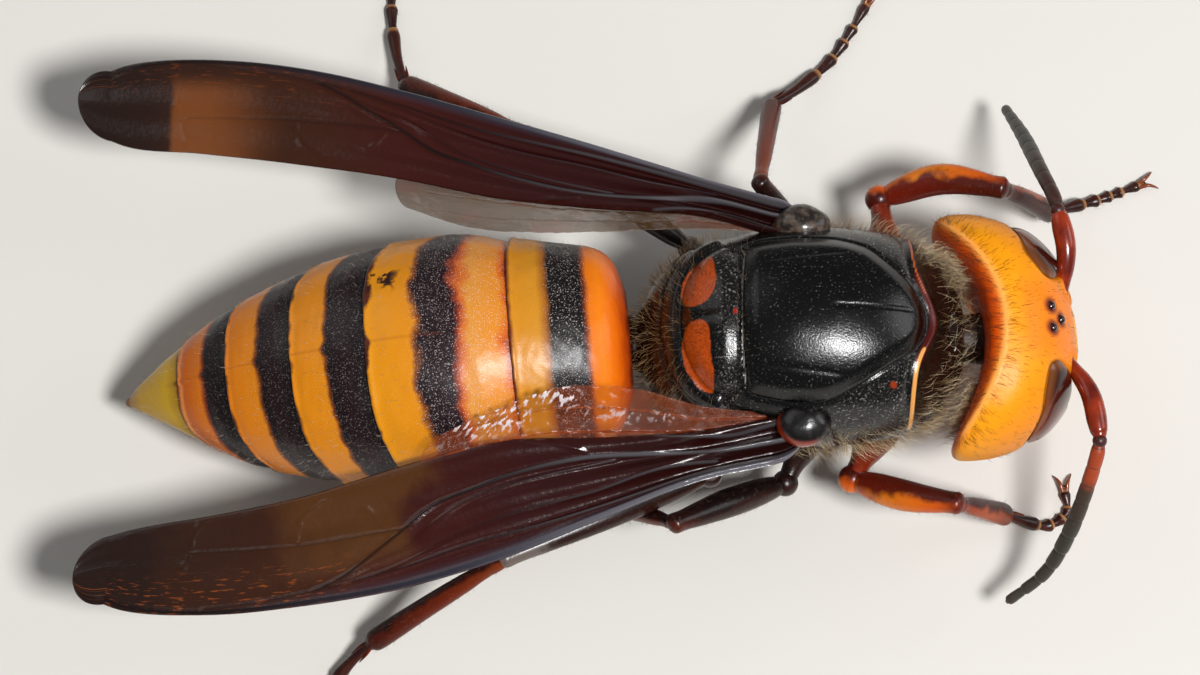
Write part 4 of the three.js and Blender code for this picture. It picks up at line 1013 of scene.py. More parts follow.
# Wings: thin closed plates, veins raised in both faces
wingPlan = {
    "thick": 0.07,
    # how far the root runs on under the hinge scale, and the share along the wing where its tip starts
    "fore": (1.3, 0.91), "hind": (0.8, 0.95),
    "left": {
        "front": ((7.3, 5.5, 10.1), (4.2, 6.4, 10.1), (0, 7.85, 9.8), (-4.3, 9.3, 9.3), (-8.6, 10.7, 8.8),
                  (-12.9, 11.8, 8.4), (-17.2, 12.3, 8.0), (-20.5, 12.1, 7.7), (-22.3, 11.2, 7.5)),
        "rear": ((7.2, 3.9, 10.1), (4.2, 4.75, 10.1), (-0.1, 5.15, 9.8), (-4.3, 5.75, 9.3), (-8.5, 6.75, 8.8),
                 (-12.8, 7.5, 8.4), (-17.1, 8.1, 8.0), (-20.3, 8.5, 7.7), (-22.4, 9.6, 7.5)),
        "lobeInner": ((6.6, 4.1, 10.0), (4.0, 4.15, 10.3), (1.0, 4.0, 10.45), (-2.2, 3.95, 10.4),
                      (-5.4, 4.3, 9.9), (-9.0, 5.75, 8.9)),
        "lobeOuter": ((6.4, 4.5, 9.7), (4.0, 5.2, 9.35), (0.9, 5.55, 9.0), (-2.4, 6.0, 8.75),
                      (-5.6, 6.7, 8.4), (-9.4, 7.2, 8.1)),
    },
    "right": {
        "front": ((7.2, -5.9, 9.6), (4.2, -6.6, 9.7), (0, -8.2, 9.4), (-4.2, -9.8, 8.9), (-8.4, -10.95, 8.4),
                  (-12.6, -11.6, 8.0), (-16.5, -11.9, 7.7), (-20.2, -11.6, 7.4), (-22.2, -10.6, 7.3)),
        "rear": ((7.2, -3.9, 10.2), (4.2, -4.55, 10.3), (0, -4.85, 10.3), (-4.2, -5.0, 10.3),
                 (-8.4, -5.95, 9.6), (-12.5, -7.1, 8.9), (-16.2, -7.75, 8.3), (-19.8, -8.3, 7.8),
                 (-22.4, -9.1, 7.4)),
        "lobeInner": ((6.6, -3.8, 10.4), (4.1, -3.7, 11.2), (1.5, -3.1, 11.7), (-1.7, -3.05, 11.7),
                      (-4.6, -4.0, 11.2), (-7.6, -5.2, 10.3)),
        "lobeOuter": ((6.4, -4.3, 9.9), (4.1, -4.9, 9.75), (1.4, -5.2, 9.65), (-1.8, -5.4, 9.6),
                      (-4.7, -5.8, 9.5), (-8.2, -6.5, 9.2)),
    },
    # each vein: share along the wing and share from its front edge, then half width and height in millimetres
    "veins": (
        (((0, 0.05), (0.3, 0.035), (0.62, 0.03), (0.8, 0.03), (0.96, 0.1)), 0.2, 0.13),
        (((0, 0.15), (0.124, 0.16), (0.26, 0.17), (0.41, 0.21), (0.5, 0.17), (0.6, 0.12), (0.75, 0.06)),
         0.13, 0.09),
        (((0, 0.45), (0.067, 0.48), (0.124, 0.57), (0.182, 0.7), (0.259, 0.77), (0.339, 0.72), (0.41, 0.65),
          (0.448, 0.62), (0.497, 0.46), (0.529, 0.35), (0.571, 0.2), (0.6, 0.13)), 0.14, 0.11),
        (((0.235, 0.7), (0.339, 0.63), (0.41, 0.57), (0.448, 0.48), (0.497, 0.32), (0.529, 0.28),
          (0.571, 0.17)), 0.1, 0.08),
        (((0.1, 0.32), (0.18, 0.42), (0.26, 0.36), (0.34, 0.37), (0.42, 0.32), (0.5, 0.2), (0.56, 0.14)),
         0.11, 0.08),
        (((0, 0.8), (0.067, 0.77), (0.124, 0.86), (0.18, 0.97)), 0.12, 0.08),
        (((0.259, 0.77), (0.29, 0.9), (0.34, 0.98)), 0.1, 0.06),
        (((0.497, 0.48), (0.577, 0.525), (0.64, 0.56), (0.7, 0.6), (0.77, 0.64)), 0.12, 0.08),
        (((0.597, 0.9), (0.622, 0.8), (0.629, 0.6)), 0.08, 0.06),
        (((0.514, 0.49), (0.539, 0.73)), 0.07, 0.05),
        (((0.773, 0.9), (0.784, 0.5)), 0.07, 0.05),
    ),
    "lobeVeins": (
        (((0, 0.3), (0.4, 0.28), (0.9, 0.4)), 0.1, 0.06),
        (((0, 0.6), (0.5, 0.66), (0.95, 0.8)), 0.09, 0.05),
    ),
    # shares along the wing where its amber window, painted light shining through the membrane, starts, is
    # clearest from and to, and ends
    "window": {"left": (0.64, 0.75, 0.785, 0.8), "right": (0.44, 0.52, 0.57, 0.68)},
}


def veinHeight(row, chord, veins, long, wide):
    # how far the veins rise, at a share along the wing and a share from its front edge
    height = np.zeros(len(row))
    for path, half, tall in veins:
        line = curveThrough(path, np.linspace(0, 1, 120))
        across = np.interp(row, line[:, 0], line[:, 1])
        slope = np.interp(row, line[:, 0], np.gradient(line[:, 1], line[:, 0])) * wide / long
        off = np.abs(chord - across) * wide / np.sqrt(1 + slope ** 2)
        start, end = line[0, 0], line[-1, 0]
        ends = smoothStep(row, start - 0.015, start) * (1 - smoothStep(row, end, end + 0.015))
        slim = 1 - 0.45 * row
        height = np.maximum(height, tall * slim * ends * ridge(off, half * slim))
    return height


def wingShape(front, rear, veins, pleat, rootReach, tipRow):
    long = np.linalg.norm(np.subtract(front[0], front[-1]))
    endShare = 0.05
    tipReach = 0.55 * (1 - tipRow) * long

    def chordOf(u):
        return np.where(u < 0.5, 2 * u, 2 - 2 * u)

    def rowOf(v):
        return np.clip((v - endShare) / (1 - 2 * endShare), 0, 1) * tipRow

    def shape(u, v):
        # both ends are round: the root runs on under the hinge scale, the tip past its last station
        row = rowOf(v)
        near, far = curveThrough(front, row), curveThrough(rear, row)
        wide = np.linalg.norm(near - far, axis=1)
        rootTurn = (1 - np.clip(v / endShare, 0, 1)) * np.pi / 2
        tipTurn = (1 - np.clip((1 - v) / endShare, 0, 1)) * np.pi / 2
        narrow = np.cos(np.maximum(rootTurn, tipTurn))
        chord = chordOf(u)
        points = near + (far - near) * (0.5 + (chord - 0.5) * narrow)[:, None]
        heading = unit(np.subtract(front[-1], front[0]))
        points += heading * (tipReach * np.sin(tipTurn) - rootReach * np.sin(rootTurn))[:, None]
        rise = veinHeight(row, chord, veins, long, wide) * narrow
        edgeSlim = np.clip(np.minimum(chord, 1 - chord) * wide / 0.1, 0, 1) ** 0.5
        half = 0.5 * wingPlan["thick"] * edgeSlim * np.minimum(narrow * 4, 1)
        face = np.where(u < 0.5, half + rise, -half - 0.5 * rise)
        points[:, 2] += pleat(row, chord, points) * narrow + face
        return points

    def veinMark(u, v):
        wide = np.linalg.norm(curveThrough(front, rowOf(v)) - curveThrough(rear, rowOf(v)), axis=1)
        return veinHeight(rowOf(v), chordOf(u), veins, long, wide) / 0.13

    marks = {"vein": veinMark, "row": lambda u, v: rowOf(v), "chord": lambda u, v: chordOf(u)}
    return shape, marks


def forePleat(row, chord, points):
    # the folded wing keeps shallow pleats between its veins, deepest near the hinge
    deep = 0.16 * (1 - smoothStep(row, 0.1, 0.75)) + 0.03
    waves = deep * np.sin(chord * 2 * np.pi * 2.4 + 0.8)
    return waves + 0.03 * ripple(points, 3.0, 61) + 0.15 * chord * (1 - chord)


def lobePleat(row, chord, points):
    # the thin hind lobe lies in small crinkles
    fade = np.sin(np.pi * np.clip(row, 0.02, 0.98))
    return fade * (0.1 * ripple(points, 1.5, 71) + 0.06 * ripple(points, 0.5, 72)) + 0.3 * chord * (1 - chord)


def buildWings():
    for side in ("left", "right"):
        edges = wingPlan[side]
        shape, marks = wingShape(edges["front"], edges["rear"], wingPlan["veins"], forePleat,
                                 *wingPlan["fore"])
        blade = bentSkin(shape, 180, 320, marks)
        makePiece(f"forewing_{side}_blade", blade, smokyMembrane(side), [f"forewing_{side}"])
        shape, marks = wingShape(edges["lobeOuter"], edges["lobeInner"], wingPlan["lobeVeins"], lobePleat,
                                 *wingPlan["hind"])
        lobe = bentSkin(shape, 120, 200, marks)
        makePiece(f"hindwing_{side}_lobe", lobe, clearMembrane(side), [f"hindwing_{side}"])
    print("wings")


def smokyMembrane(side):
    # thin brown membrane between dark veins: glossy, amber where light comes through
    material, add, shader = startFinish(f"smoky membrane {side}", 0.2, 0.1, 0.38)
    row, chord, vein = (add("mark", label) for label in ("row", "chord", "vein"))
    patches = add("difference", grain(add, 2.5, 3.0), 0.5)
    outer = add("sum", row, add("product", patches, 0.05 if side == "left" else 0.2))
    film = add("ramp", outer, [(0.0, "#1E0706"), (0.35, "#2E0807"), (0.5, "#380E07"), (0.62, "#361808"),
                               (0.78, "#2E160A"), (0.84, "#22100A"), (1.0, "#1C0E08")])
    start, full, end, gone = wingPlan["window"][side]
    window = add("product", add("edge", outer, start, full), add("edge", outer, gone, end))
    window = add("product", window, add("edge", chord, 0.12, 0.4))
    # the amber window is painted light shining through the membrane
    film = add("blend", add("product", window, 0.8), film, "#7E441A" if side == "left" else "#55310F")
    # the outer part lies in fine wrinkles, about 0.7 mm long, that glint orange
    wrinkles = add("noise", add("stretch", add("lay", row, chord), (45, 36, 1)), 1.0, 3.0)
    reach = add("product", add("edge", row, 0.5, 0.62), add("edge", chord, 0.5, 0.25))
    glints = add("product", add("edge", wrinkles, 0.57, 0.68), reach)
    film = add("blend", add("product", glints, 0.6 if side == "right" else 0.2), film, "#9A4A16")
    tint = add("blend", add("edge", vein, 0.25, 0.7), film, "#120706")
    # a painted blue-grey reflection along the front edge, fading out towards the tip
    shaft = add("product", add("edge", chord, 0.14, 0.04), add("edge", row, 0.8, 0.3))
    tint = add("blend", add("product", shaft, 0.6), tint, "#3A3A48")
    # painted silver reflections on the veins near the root
    base = add("product", add("edge", vein, 0.3, 0.8), add("edge", row, 0.45, 0.2))
    tint = add("blend", add("product", base, 0.3), tint, "#8E8A90")
    clear = add("difference", 0.98, add("product", window, 0.1))
    height = add("sum", grain(add, 0.25, 4.0), add("product", wrinkles, 0.8))
    fill(shader, {"Base Color": tint, "Roughness": add("difference", 0.22, add("product", vein, 0.1)),
                  "Alpha": add("larger", clear, add("edge", vein, 0.2, 0.6)),
                  "Normal": add("bump", height, 0.3, 0.05 * mm)})
    return material


def clearMembrane(side):
    # nearly clear amber membrane in fine crinkles, the right one glinting silver over the gaster
    material, add, shader = startFinish(f"clear membrane {side}", 0.2, 0.2, 0.6)
    row, chord, vein = (add("mark", label) for label in ("row", "chord", "vein"))
    film = "#5A3C18" if side == "left" else "#B04A10"
    tint = add("blend", add("edge", vein, 0.2, 0.45), film, "#2E120A")
    spots = add("edge", grain(add, 1.6, 2.0), 0.5, 0.65)
    tint = add("blend", add("product", spots, 0.5), tint, "#7A2E0C")
    # the crinkles run slantwise in from the outer edge
    slant = add("sum", chord, add("product", row, 1.6))
    crinkles = add("noise", add("stretch", add("lay", row, slant), (60, 9, 1)), 1.0, 4.0)
    glints = add("product", add("edge", crinkles, 0.5, 0.6), 0.8 if side == "right" else 0.1)
    glints = add("product", glints, add("product", add("edge", chord, 0.3, 0.7), add("edge", row, 0.12, 0.3)))
    glints = add("product", glints, add("edge", grain(add, 2.2, 1.0), 0.38, 0.52))
    tint = add("blend", glints, tint, "#F4F0F2")
    alpha = add("range", vein, 0.15, 0.4, 0.5 if side == "left" else 0.16, 0.95)
    fill(shader, {"Base Color": tint, "Alpha": add("larger", alpha, glints),
                  "Normal": add("bump", crinkles, 0.8, 0.1 * mm)})
    return material


# Feelers: a stiff scape, a bead and ten rings
feelerPlan = {
    "left": {
        "scape": ((19.5, 1.95, 8.2), (19.75, 3.6, 8.9), (19.46, 5.18, 9.1)),
        "flagellum": ((19.42, 5.3, 9.1), (19.3, 5.9, 8.9), (18.85, 7.49, 7.7), (18.4, 9.6, 5.4),
                      (17.84, 11.67, 2.9)),
    },
    "right": {
        "scape": ((19.75, -1.05, 8.2), (20.65, -2.6, 8.6), (21.0, -4.35, 8.6)),
        "flagellum": ((21.0, -4.6, 8.55), (20.92, -5.1, 8.2), (20.6, -6.2, 7.2), (19.96, -7.87, 5.6),
                      (19.0, -9.35, 4.0), (17.47, -10.4, 2.9)),
    },
    "scapeRadii": ((0, 0.25), (0.12, 0.3), (0.3, 0.38), (0.75, 0.44), (0.95, 0.38), (1, 0.3)),
    "rings": 10, "radius": 0.34, "ball": 0.34, "elbow": 0.31,
}


def flagellumProfile(rings, radius):
    profile = []
    for index in range(rings):
        share = index / rings
        swell = radius * (1 - 0.2 * abs(share - 0.4) - 0.9 * max(share - 0.45, 0) ** 1.5)
        start = 0.04 + 0.96 * share
        step = 0.96 / rings
        profile += [(start, swell * 0.93), (start + 0.15 * step, swell * 0.99), (start + 0.88 * step, swell)]
    return [(0, radius * 0.6)] + profile + [(1, radius * 0.3)]


def buildFeelers():
    for side in ("left", "right"):
        plan = feelerPlan[side]
        sign = 1 if side == "left" else -1
        reach, height = headPlan["socket"]
        root = spotOnFace(sign * reach, height, -0.1)
        path = [root + (np.array(plan["scape"][0]) - root) * 0.4, *plan["scape"][1:]]
        ball = bentSkin(beadShape(root + 0.25 * unit(np.array(path[0]) - root), (feelerPlan["ball"],) * 3),
                        36, 26)
        stalk = bentSkin(limbShape(path, feelerPlan["scapeRadii"], flat=0.9), 48, 120)
        makePiece(f"antenna_{side}_stalk", joined([ball, stalk]), stalkChitin(),
                  [f"antenna_{side}_scape"])
        bead = bentSkin(beadShape(plan["flagellum"][0], (feelerPlan["elbow"],) * 3), 32, 24)
        mark(bead, "elbow", np.ones(len(bead.vertices)))
        profile = flagellumProfile(feelerPlan["rings"], feelerPlan["radius"])
        whip = bentSkin(limbShape(plan["flagellum"], profile, capShare=0.02), 40, 340)
        mark(whip, "elbow", np.zeros(len(whip.vertices)))
        makePiece(f"antenna_{side}_whip", joined([bead, whip]), whipChitin(side),
                  [f"antenna_{side}_flagellum"])
    print("feelers")


def stalkChitin():
    # polished red-brown cuticle
    material, add, shader = startFinish("scape cuticle", 0.22, 0.2)
    tint = add("ramp", grain(add, 0.8, 2.0), [(0.3, "#5A1408"), (0.7, "#9A300E")])
    fill(shader, {"Base Color": tint})
    return material


def whipChitin(side):
    # dark rings under a very short down, redder near the elbow on the right
    material, add, shader = startFinish(f"flagellum cuticle {side}", 0.45, 0.1)
    along = add("along", add("skinMap"))
    start = "#9A3A16" if side == "right" else "#3A1E14"
    tint = add("ramp", along,
               [(0.0, "#2A0E0A"), (0.06, start), (0.2, start), (0.27, "#3A2A1E"), (0.5, "#322E24"),
                (0.95, "#38332A"), (1.0, "#4A2A1E")])
    rings = add("zigzag", add("product", add("difference", along, 0.05), 10.6), 0.5)
    tint = add("blend", add("product", add("edge", rings, 0.06, 0.0), 0.6), tint, "#140C08")
    tint = add("blend", add("mark", "elbow"), tint, "#3A100A")
    fill(shader, {"Base Color": tint, "Normal": pitted(add, 0.06, 0.01, 0.6)})
    return material


# Legs
legPlan = {
    "front_left": {
        "hip": (12.6, 2.8, 5.6), "trochanter": (12.1, 7.0, 4.8), "knee": (17.25, 6.95, 6.8),
        "ankle": (19.84, 7.32, 1.5),
        "foot": ((20.8, 7.75, 0.75), (22.3, 8.3, 0.2), (24.0, 8.93, 0.2)),
        "thigh": 0.66, "shin": 0.46, "bend": (0, 0.55, 0.25), "spurs": 1},
    "front_right": {
        "hip": (12.4, -2.4, 5.4), "trochanter": (10.8, -5.3, 4.2), "knee": (15.1, -6.87, 6.6),
        "ankle": (17.58, -6.3, 1.5),
        "foot": ((18.5, -6.45, 0.8), (19.6, -6.5, 0.2), (20.4, -5.9, 0.2), (20.3, -4.95, 0.2)),
        "thigh": 0.66, "shin": 0.46, "bend": (0, -0.25, 0.25), "spurs": 1},
    "mid_left": {
        "hip": (9.4, 2.3, 4.4), "trochanter": (8.7, 5.2, 3.6), "knee": (6.85, 7.0, 7.5),
        "ankle": (7.63, 12.29, 1.5),
        "foot": ((8.8, 13.2, 0.8), (10.3, 14.7, 0.2), (11.2, 16.0, 0.2), (12.0, 17.4, 0.2)),
        "thigh": 0.56, "shin": 0.4, "bend": (0, 0, 0.2), "spurs": 2},
    "mid_right": {
        "hip": (9.4, -2.3, 4.4), "trochanter": (7.95, -5.4, 3.8), "knee": (3.16, -7.86, 7.2),
        "ankle": (0.52, -5.9, 1.5),
        "foot": ((-0.5, -5.95, 0.8), (-2.2, -6.1, 0.2), (-4.6, -6.4, 0.2)),
        "thigh": 0.62, "shin": 0.4, "bend": (0, 0, 0.2), "spurs": 2},
    "hind_left": {
        "hip": (5.3, 2.2, 4.7), "trochanter": (3.9, 5.0, 4.0), "knee": (-3.2, 9.3, 6.9),
        "ankle": (-8.65, 13.17, 1.5),
        "foot": ((-9.1, 14.9, 0.8), (-9.35, 17.2, 0.2), (-9.2, 20.4, 0.2)),
        "thigh": 0.58, "shin": 0.46, "bend": (0, 0, 0.3), "spurs": 2},
    "hind_right": {
        "hip": (5.3, -2.2, 4.9), "trochanter": (4.7, -5.3, 5.0), "knee": (-4.0, -9.3, 6.9),
        "ankle": (-9.83, -11.9, 1.5),
        "foot": ((-10.9, -12.8, 0.8), (-12.1, -14.2, 0.2), (-13.4, -16.1, 0.2)),
        "thigh": 0.58, "shin": 0.46, "bend": (0, 0, 0.3), "spurs": 2},
}
tarsusJoints = (0, 0.4, 0.56, 0.69, 0.8, 1)


def bentPath(start, end, bend):
    middle = (np.array(start) + np.array(end)) / 2 + np.array(bend)
    return [np.array(start), middle, np.array(end)]


def setDown(mesh):
    # nothing reaches under the floor
    points = bodyPoints(mesh)
    points[:, 2] = np.maximum(points[:, 2], 0.0)
    mesh.vertices.foreach_set("co", placed(points).astype(np.float32).ravel())
    mesh.update()
    return mesh


def buildLeg(name, leg):
    thigh, shin = leg["thigh"], leg["shin"]
    hips = ((0, thigh * 1.5), (0.35, thigh * 1.45), (0.6, thigh * 1.05), (0.78, thigh * 0.72),
            (1, thigh * 0.62))
    coxa = bentSkin(limbShape(bentPath(leg["hip"], leg["trochanter"], (0, 0, 0)), hips), 64, 80)
    ball = bentSkin(beadShape(leg["trochanter"], (thigh * 0.92,) * 3), 48, 36)
    thighPath = bentPath(leg["trochanter"], leg["knee"], leg["bend"])
    thighs = ((0, 0.5), (0.06, 0.62), (0.12, 0.78), (0.3, 0.98), (0.55, 1.02), (0.8, 0.84),
              (0.93, 0.72), (1, 0.74))
    femur = bentSkin(limbShape(thighPath, [(at, share * thigh) for at, share in thighs], flat=0.9), 64, 110)
    shinPath = bentPath(leg["knee"], leg["ankle"], (0, 0, 0.5 * leg["bend"][2]))
    shins = ((0, 0.72), (0.06, 0.8), (0.14, 0.72), (0.3, 0.88), (0.65, 1.02), (0.92, 1.12),
             (0.98, 1.05), (1, 0.8))
    tibia = [bentSkin(limbShape(shinPath, [(at, share * shin) for at, share in shins], flat=0.88), 56, 110)]
    heading = unit(np.subtract(leg["foot"][0], leg["ankle"]))
    aside = unit(np.cross(heading, [0, 0, 1.0]))
    for index in range(leg["spurs"]):
        lean = aside * (0.35 if index else -0.35)
        root = np.array(leg["ankle"]) + lean * 0.6 * shin
        points = [root, root + (heading + lean * 0.6) * 0.55, root + (heading + lean * 0.45) * 1.05]
        tibia.append(bentSkin(limbShape(points, ((0, 0.1), (0.5, 0.075), (1, 0.02))), 16, 24))
    footPath = [leg["ankle"], *leg["foot"]]
    tarsus = []
    for index in range(5):
        start, end = tarsusJoints[index], tarsusJoints[index + 1]
        wide = 0.27 - 0.012 * index
        span = (start + (0.006 if index else 0), end + 0.012)
        bell = ((0, wide * 0.5), (0.15, wide * 0.66), (0.6, wide * 0.9), (0.9, wide * 1.12), (1, wide * 0.95))
        if index == 4:
            bell = ((0, wide * 0.45), (0.3, wide * 0.6), (0.8, wide * 1.05), (1, wide * 0.9))
            span = (start + 0.006, 0.985)
        tarsus.append(bentSkin(limbShape(footPath, bell, span=span, flat=0.86), 36, 40))
    tip, before = np.array(footPath[-1]), np.array(footPath[-2])
    forward = unit((tip - before) * np.array([1, 1, 0]))
    aside = np.array([-forward[1], forward[0], 0])
    claws = []
    for sign in (1, -1):
        spread = unit(forward + sign * 0.55 * aside)
        points = [tip + sign * 0.08 * aside - 0.1 * forward + [0, 0, 0.03],
                  tip + 0.38 * spread + [0, 0, 0.16], tip + 0.72 * spread + [0, 0, 0.02],
                  tip + 0.84 * spread - [0, 0, 0.13]]
        claws.append(bentSkin(limbShape(points, ((0, 0.11), (0.4, 0.085), (1, 0.02))), 18, 40))
    pad = bentSkin(beadShape(tip + 0.12 * forward - [0, 0, 0.03], (0.17, 0.15, 0.1)), 24, 18)
    upper = "leg_upper" if name.startswith("front") else "leg_dark"
    pieces = {
        "hip": (coxa, legChitin(name, "hip"), "leg_dark", [f"leg_{name}_coxa"]),
        "thigh": (joined([femur, ball]), legChitin(name, "thigh"), upper, [f"leg_{name}_femur"]),
        "shin": (joined(tibia), legChitin(name, "shin"), "leg_dark", [f"leg_{name}_tibia"]),
        "foot": (setDown(joined([*tarsus, pad])), legChitin(name, "foot"), "leg_dark",
                 [f"leg_{name}_tarsus"]),
        # thin amber horn
        "claws": (setDown(joined(claws)), plainFinish("claw horn", "#7A3A1A", 0.25, 0.2), "leg_dark", []),
    }
    outward = np.array([0, 1.0 if name.endswith("left") else -1.0, 0])
    for part, (mesh, finish, slot, nodes) in pieces.items():
        mark(mesh, "outer", readAll(mesh.vertices, "normal", 3) @ outward)
        makePiece(f"leg_{name}_{part}Shell", mesh, finish, nodes)
    return [pieces[part][0] for part in ("hip", "thigh", "shin", "foot")]


# colours from root to end of each part, first of its inner side, then of its outer side, which is lighter
# partly for a painted highlight
legColours = {
    "frontThigh": ([(0.0, "#5A1008"), (0.15, "#6A1A0A"), (0.7, "#4A140A"), (1.0, "#3A0E0A")],
                   [(0.0, "#8A1A08"), (0.15, "#B4480A"), (0.4, "#DE7A10"), (0.8, "#C8520C"),
                    (1.0, "#5A160A")]),
    "frontShin": ([(0.0, "#3A0C06"), (1.0, "#2A0A06")],
                  [(0.0, "#6A1A08"), (0.5, "#A8440C"), (1.0, "#4A140A")]),
    "frontHip": ([(0.0, "#0E0808"), (0.6, "#1A0A08"), (1.0, "#5A140A")],
                 [(0.0, "#160C0A"), (1.0, "#8A2A0C")]),
    "hip": ([(0.0, "#0A0707"), (1.0, "#140A08")], [(0.0, "#0E0908"), (1.0, "#2A140C")]),
    "thigh": ([(0.0, "#0E0707"), (0.7, "#140908"), (1.0, "#240E0A")],
              [(0.0, "#2A120C"), (0.7, "#26100C"), (1.0, "#4A1C10")]),
    "shin": ([(0.0, "#2E0C07"), (1.0, "#1E0906")], [(0.0, "#7A3412"), (0.4, "#6A240E"), (1.0, "#3A120A")]),
    "foot": ([(0.0, "#240C0A"), (1.0, "#2A100C")], [(0.0, "#3A140E"), (1.0, "#3E1A10")]),
}


def legChitin(name, part):
    # polished dark red-brown cuticle with grey specks of short hairs; its outer side is lighter, partly amber
    # cuticle and partly a painted highlight
    material, add, shader = startFinish(f"leg cuticle {name} {part}", 0.28, 0.0,
                                        0.12 if part == "shin" else 0.3)
    key = "front" + part.capitalize() if name.startswith("front") and part != "foot" else part
    along = add("along", add("skinMap"))
    spread = add("difference", grain(add, 0.9, 3.0), 0.5)
    place = add("sum", along, add("product", spread, 0.3))
    inner, outer = (add("ramp", place, stops) for stops in legColours[key])
    side = add("sum", add("mark", "outer"), add("product", spread, 1.6))
    # the lighter outer side is partly a painted highlight
    tint = add("blend", add("edge", side, -0.1, 0.5), inner, outer)
    if part == "foot":
        tint = add("blend", add("edge", along, 0.86, 0.93), tint, "#9A6A40")
    if part == "thigh" and name.startswith("hind"):
        # a grey patch of down on the knee
        patch = add("edge", add("sum", along, add("product", spread, 0.2)), 0.7, 0.8)
        tint = add("blend", add("product", patch, 0.38), tint, "#8E8880")
    speckle = grain(add, 0.1, 2.0)
    tint = add("blend", add("product", add("edge", speckle, 0.62, 0.72), 0.14), tint, "#9A8E80")
    fill(shader, {"Base Color": tint, "Normal": pitted(add, 0.1, 0.015, 0.4)})
    return material


# Coat
def hairFinish(name, rootCode, tipCode, roughness=0.45):
    # hairs are hollow horn threads: a soft gleam, paler towards their tips
    material, add, shader = startFinish(name, roughness)
    tint = add("ramp", add("mark", "shade"), [(0.0, rootCode), (1.0, tipCode)])
    fill(shader, {"Base Color": tint})
    return material


# each coat: how many hairs, their length and thickness in millimetres, how steeply and unevenly they lie
coatPlan = {
    "crownHair": {"count": 1500, "thick": 0.0075, "stand": 0.5, "stray": 0.2},
    "napeHair": {"count": 1700, "length": 1.0, "thick": 0.009, "stand": 0.9},
    "ruffHair": {"count": 2000, "length": 1.25, "thick": 0.009, "stand": 0.9, "stray": 0.25},
    "flankHair": {"count": 2400, "length": 0.9, "thick": 0.008, "stand": 1.1},
    "gasterDown": {"length": 0.42, "thick": 0.007, "stand": 0.9, "stray": 0.2},
    "legHair": {"count": 900, "length": 0.28, "thick": 0.006, "stand": 0.7},
}


def growCoat(headMesh, thoraxMesh, rings, legs):
    quick = 1.0
    gold = hairFinish("golden hair", "#A87434", "#FFF2CC", 0.28)
    brown = hairFinish("brown hair", "#1E0E06", "#5A3010")
    bristle = hairFinish("golden brown bristle", "#2A180A", "#C8A06A", 0.35)
    pale = hairFinish("pale bristle", "#6A4426", "#F2E4CC", 0.35)
    short = hairFinish("short brown bristle", "#1A0C06", "#7A4A24", 0.4)

    def grow(name, mesh, weight, lie, finish, slot, seed, **more):
        plan = {**coatPlan[name], **more}
        roots = scatter([mesh], int(plan["count"] * quick), weight, seed)
        growHair(name, roots, plan, lie, finish, seed + 1)

    def crownWeight(points, normals):
        own = toHead(points)
        near = ridge(ridgeLine(own), 0.5) * smoothStep(own[:, 2], 1.0, 2.2)
        face = smoothStep(-ridgeLine(own), 0.3, 1.0)
        clear = (eyeEdge(own) < -0.05) & (shieldEdge(own) < -0.05)
        return (0.8 * near + 0.16 * face) * np.where(own[:, 0] > 0.2, clear, 1)

    def crownLie(points):
        own = toHead(points)
        ahead = np.sign(-ridgeLine(own))
        return np.column_stack([ahead, own[:, 1] * 0.12, np.zeros(len(points))])

    def crownLength(points):
        return 0.28 + 0.36 * ridge(ridgeLine(toHead(points)), 0.9)

    grow("crownHair", headMesh, crownWeight, crownLie, brown, "shell", 101, length=crownLength)

    def napeWeight(points, normals):
        own = toHead(points)
        behind = smoothStep(ridgeLine(own), 0.4, 1.0) * smoothStep(own[:, 2], -3.0, -1.0)
        return behind * (1 - smoothStep(own[:, 2], 1.6, 2.8)) * smoothStep(np.abs(own[:, 1]), 1.6, 3.2)

    grow("napeHair", headMesh, napeWeight, (-1, 0, 0.3), gold, "shell", 103)

    def ruffWeight(points, normals):
        rim = collarLine(points)
        side = smoothStep(np.abs(points[:, 1]), 2.0, 3.4)
        flank = 1 - smoothStep(points[:, 2], 9.2, 10.4)
        front = smoothStep(rim, 0.1, 0.4) * (0.02 + 1.4 * side)
        return front + 0.9 * flank * smoothStep(points[:, 0], 7.5, 10.0)

    grow("ruffHair", thoraxMesh, ruffWeight, (0.6, 0, 0.5), gold, "thorax_brown", 105)

    def flankWeight(points, normals):
        rear = 1 - smoothStep(points[:, 0] - 0.25 * (points[:, 2] - 7), 2.6, 3.6)
        flank = 1 - smoothStep(points[:, 2], 9.6, 10.6)
        edgeOfBack = ridge(insideBy(points[:, :2], mirroredOutline(thoraxPlan["scutellum"], 60)) + 0.2, 0.25)
        return 1.2 * rear + 0.5 * flank + 0.4 * edgeOfBack * smoothStep(points[:, 2], 9, 10)

    def flankLie(points):
        return points - np.array([5.5, 0, 7.5])

    grow("flankHair", thoraxMesh, flankWeight, flankLie, bristle, "thorax_brown", 107)

    for index, ring in enumerate(rings):
        # sparse bristles on the flanks and along the rear edge
        rear = gasterPlan["seams"][index + 1]

        def pileWeight(points, normals):
            share = -toGaster(points)[:, 0] / gasterPlan["length"]
            return 0.25 + 2 * smoothStep(np.abs(normals[:, 1]), 0.6, 0.95) + 1.5 * ridge(share - rear, 0.03)

        roots = scatter([ring], int(gasterPlan["bristles"][index] * quick), pileWeight, 120 + index)
        growHair(f"gasterDown_{index + 1}", roots, coatPlan["gasterDown"], (-1, 0, 0), pale,
                 130 + index)
    for place, (name, meshes) in enumerate(legs.items()):
        plan = coatPlan["legHair"]
        roots = scatter(meshes, int(plan["count"] * quick), lambda points, normals: np.ones(len(points)),
                        140 + place)
        foot = np.array(legPlan[name]["foot"][-1])
        growHair(f"legHair_{name}", roots, plan, lambda points: unit(foot - points), short,
                 150 + place)
    print("coat")


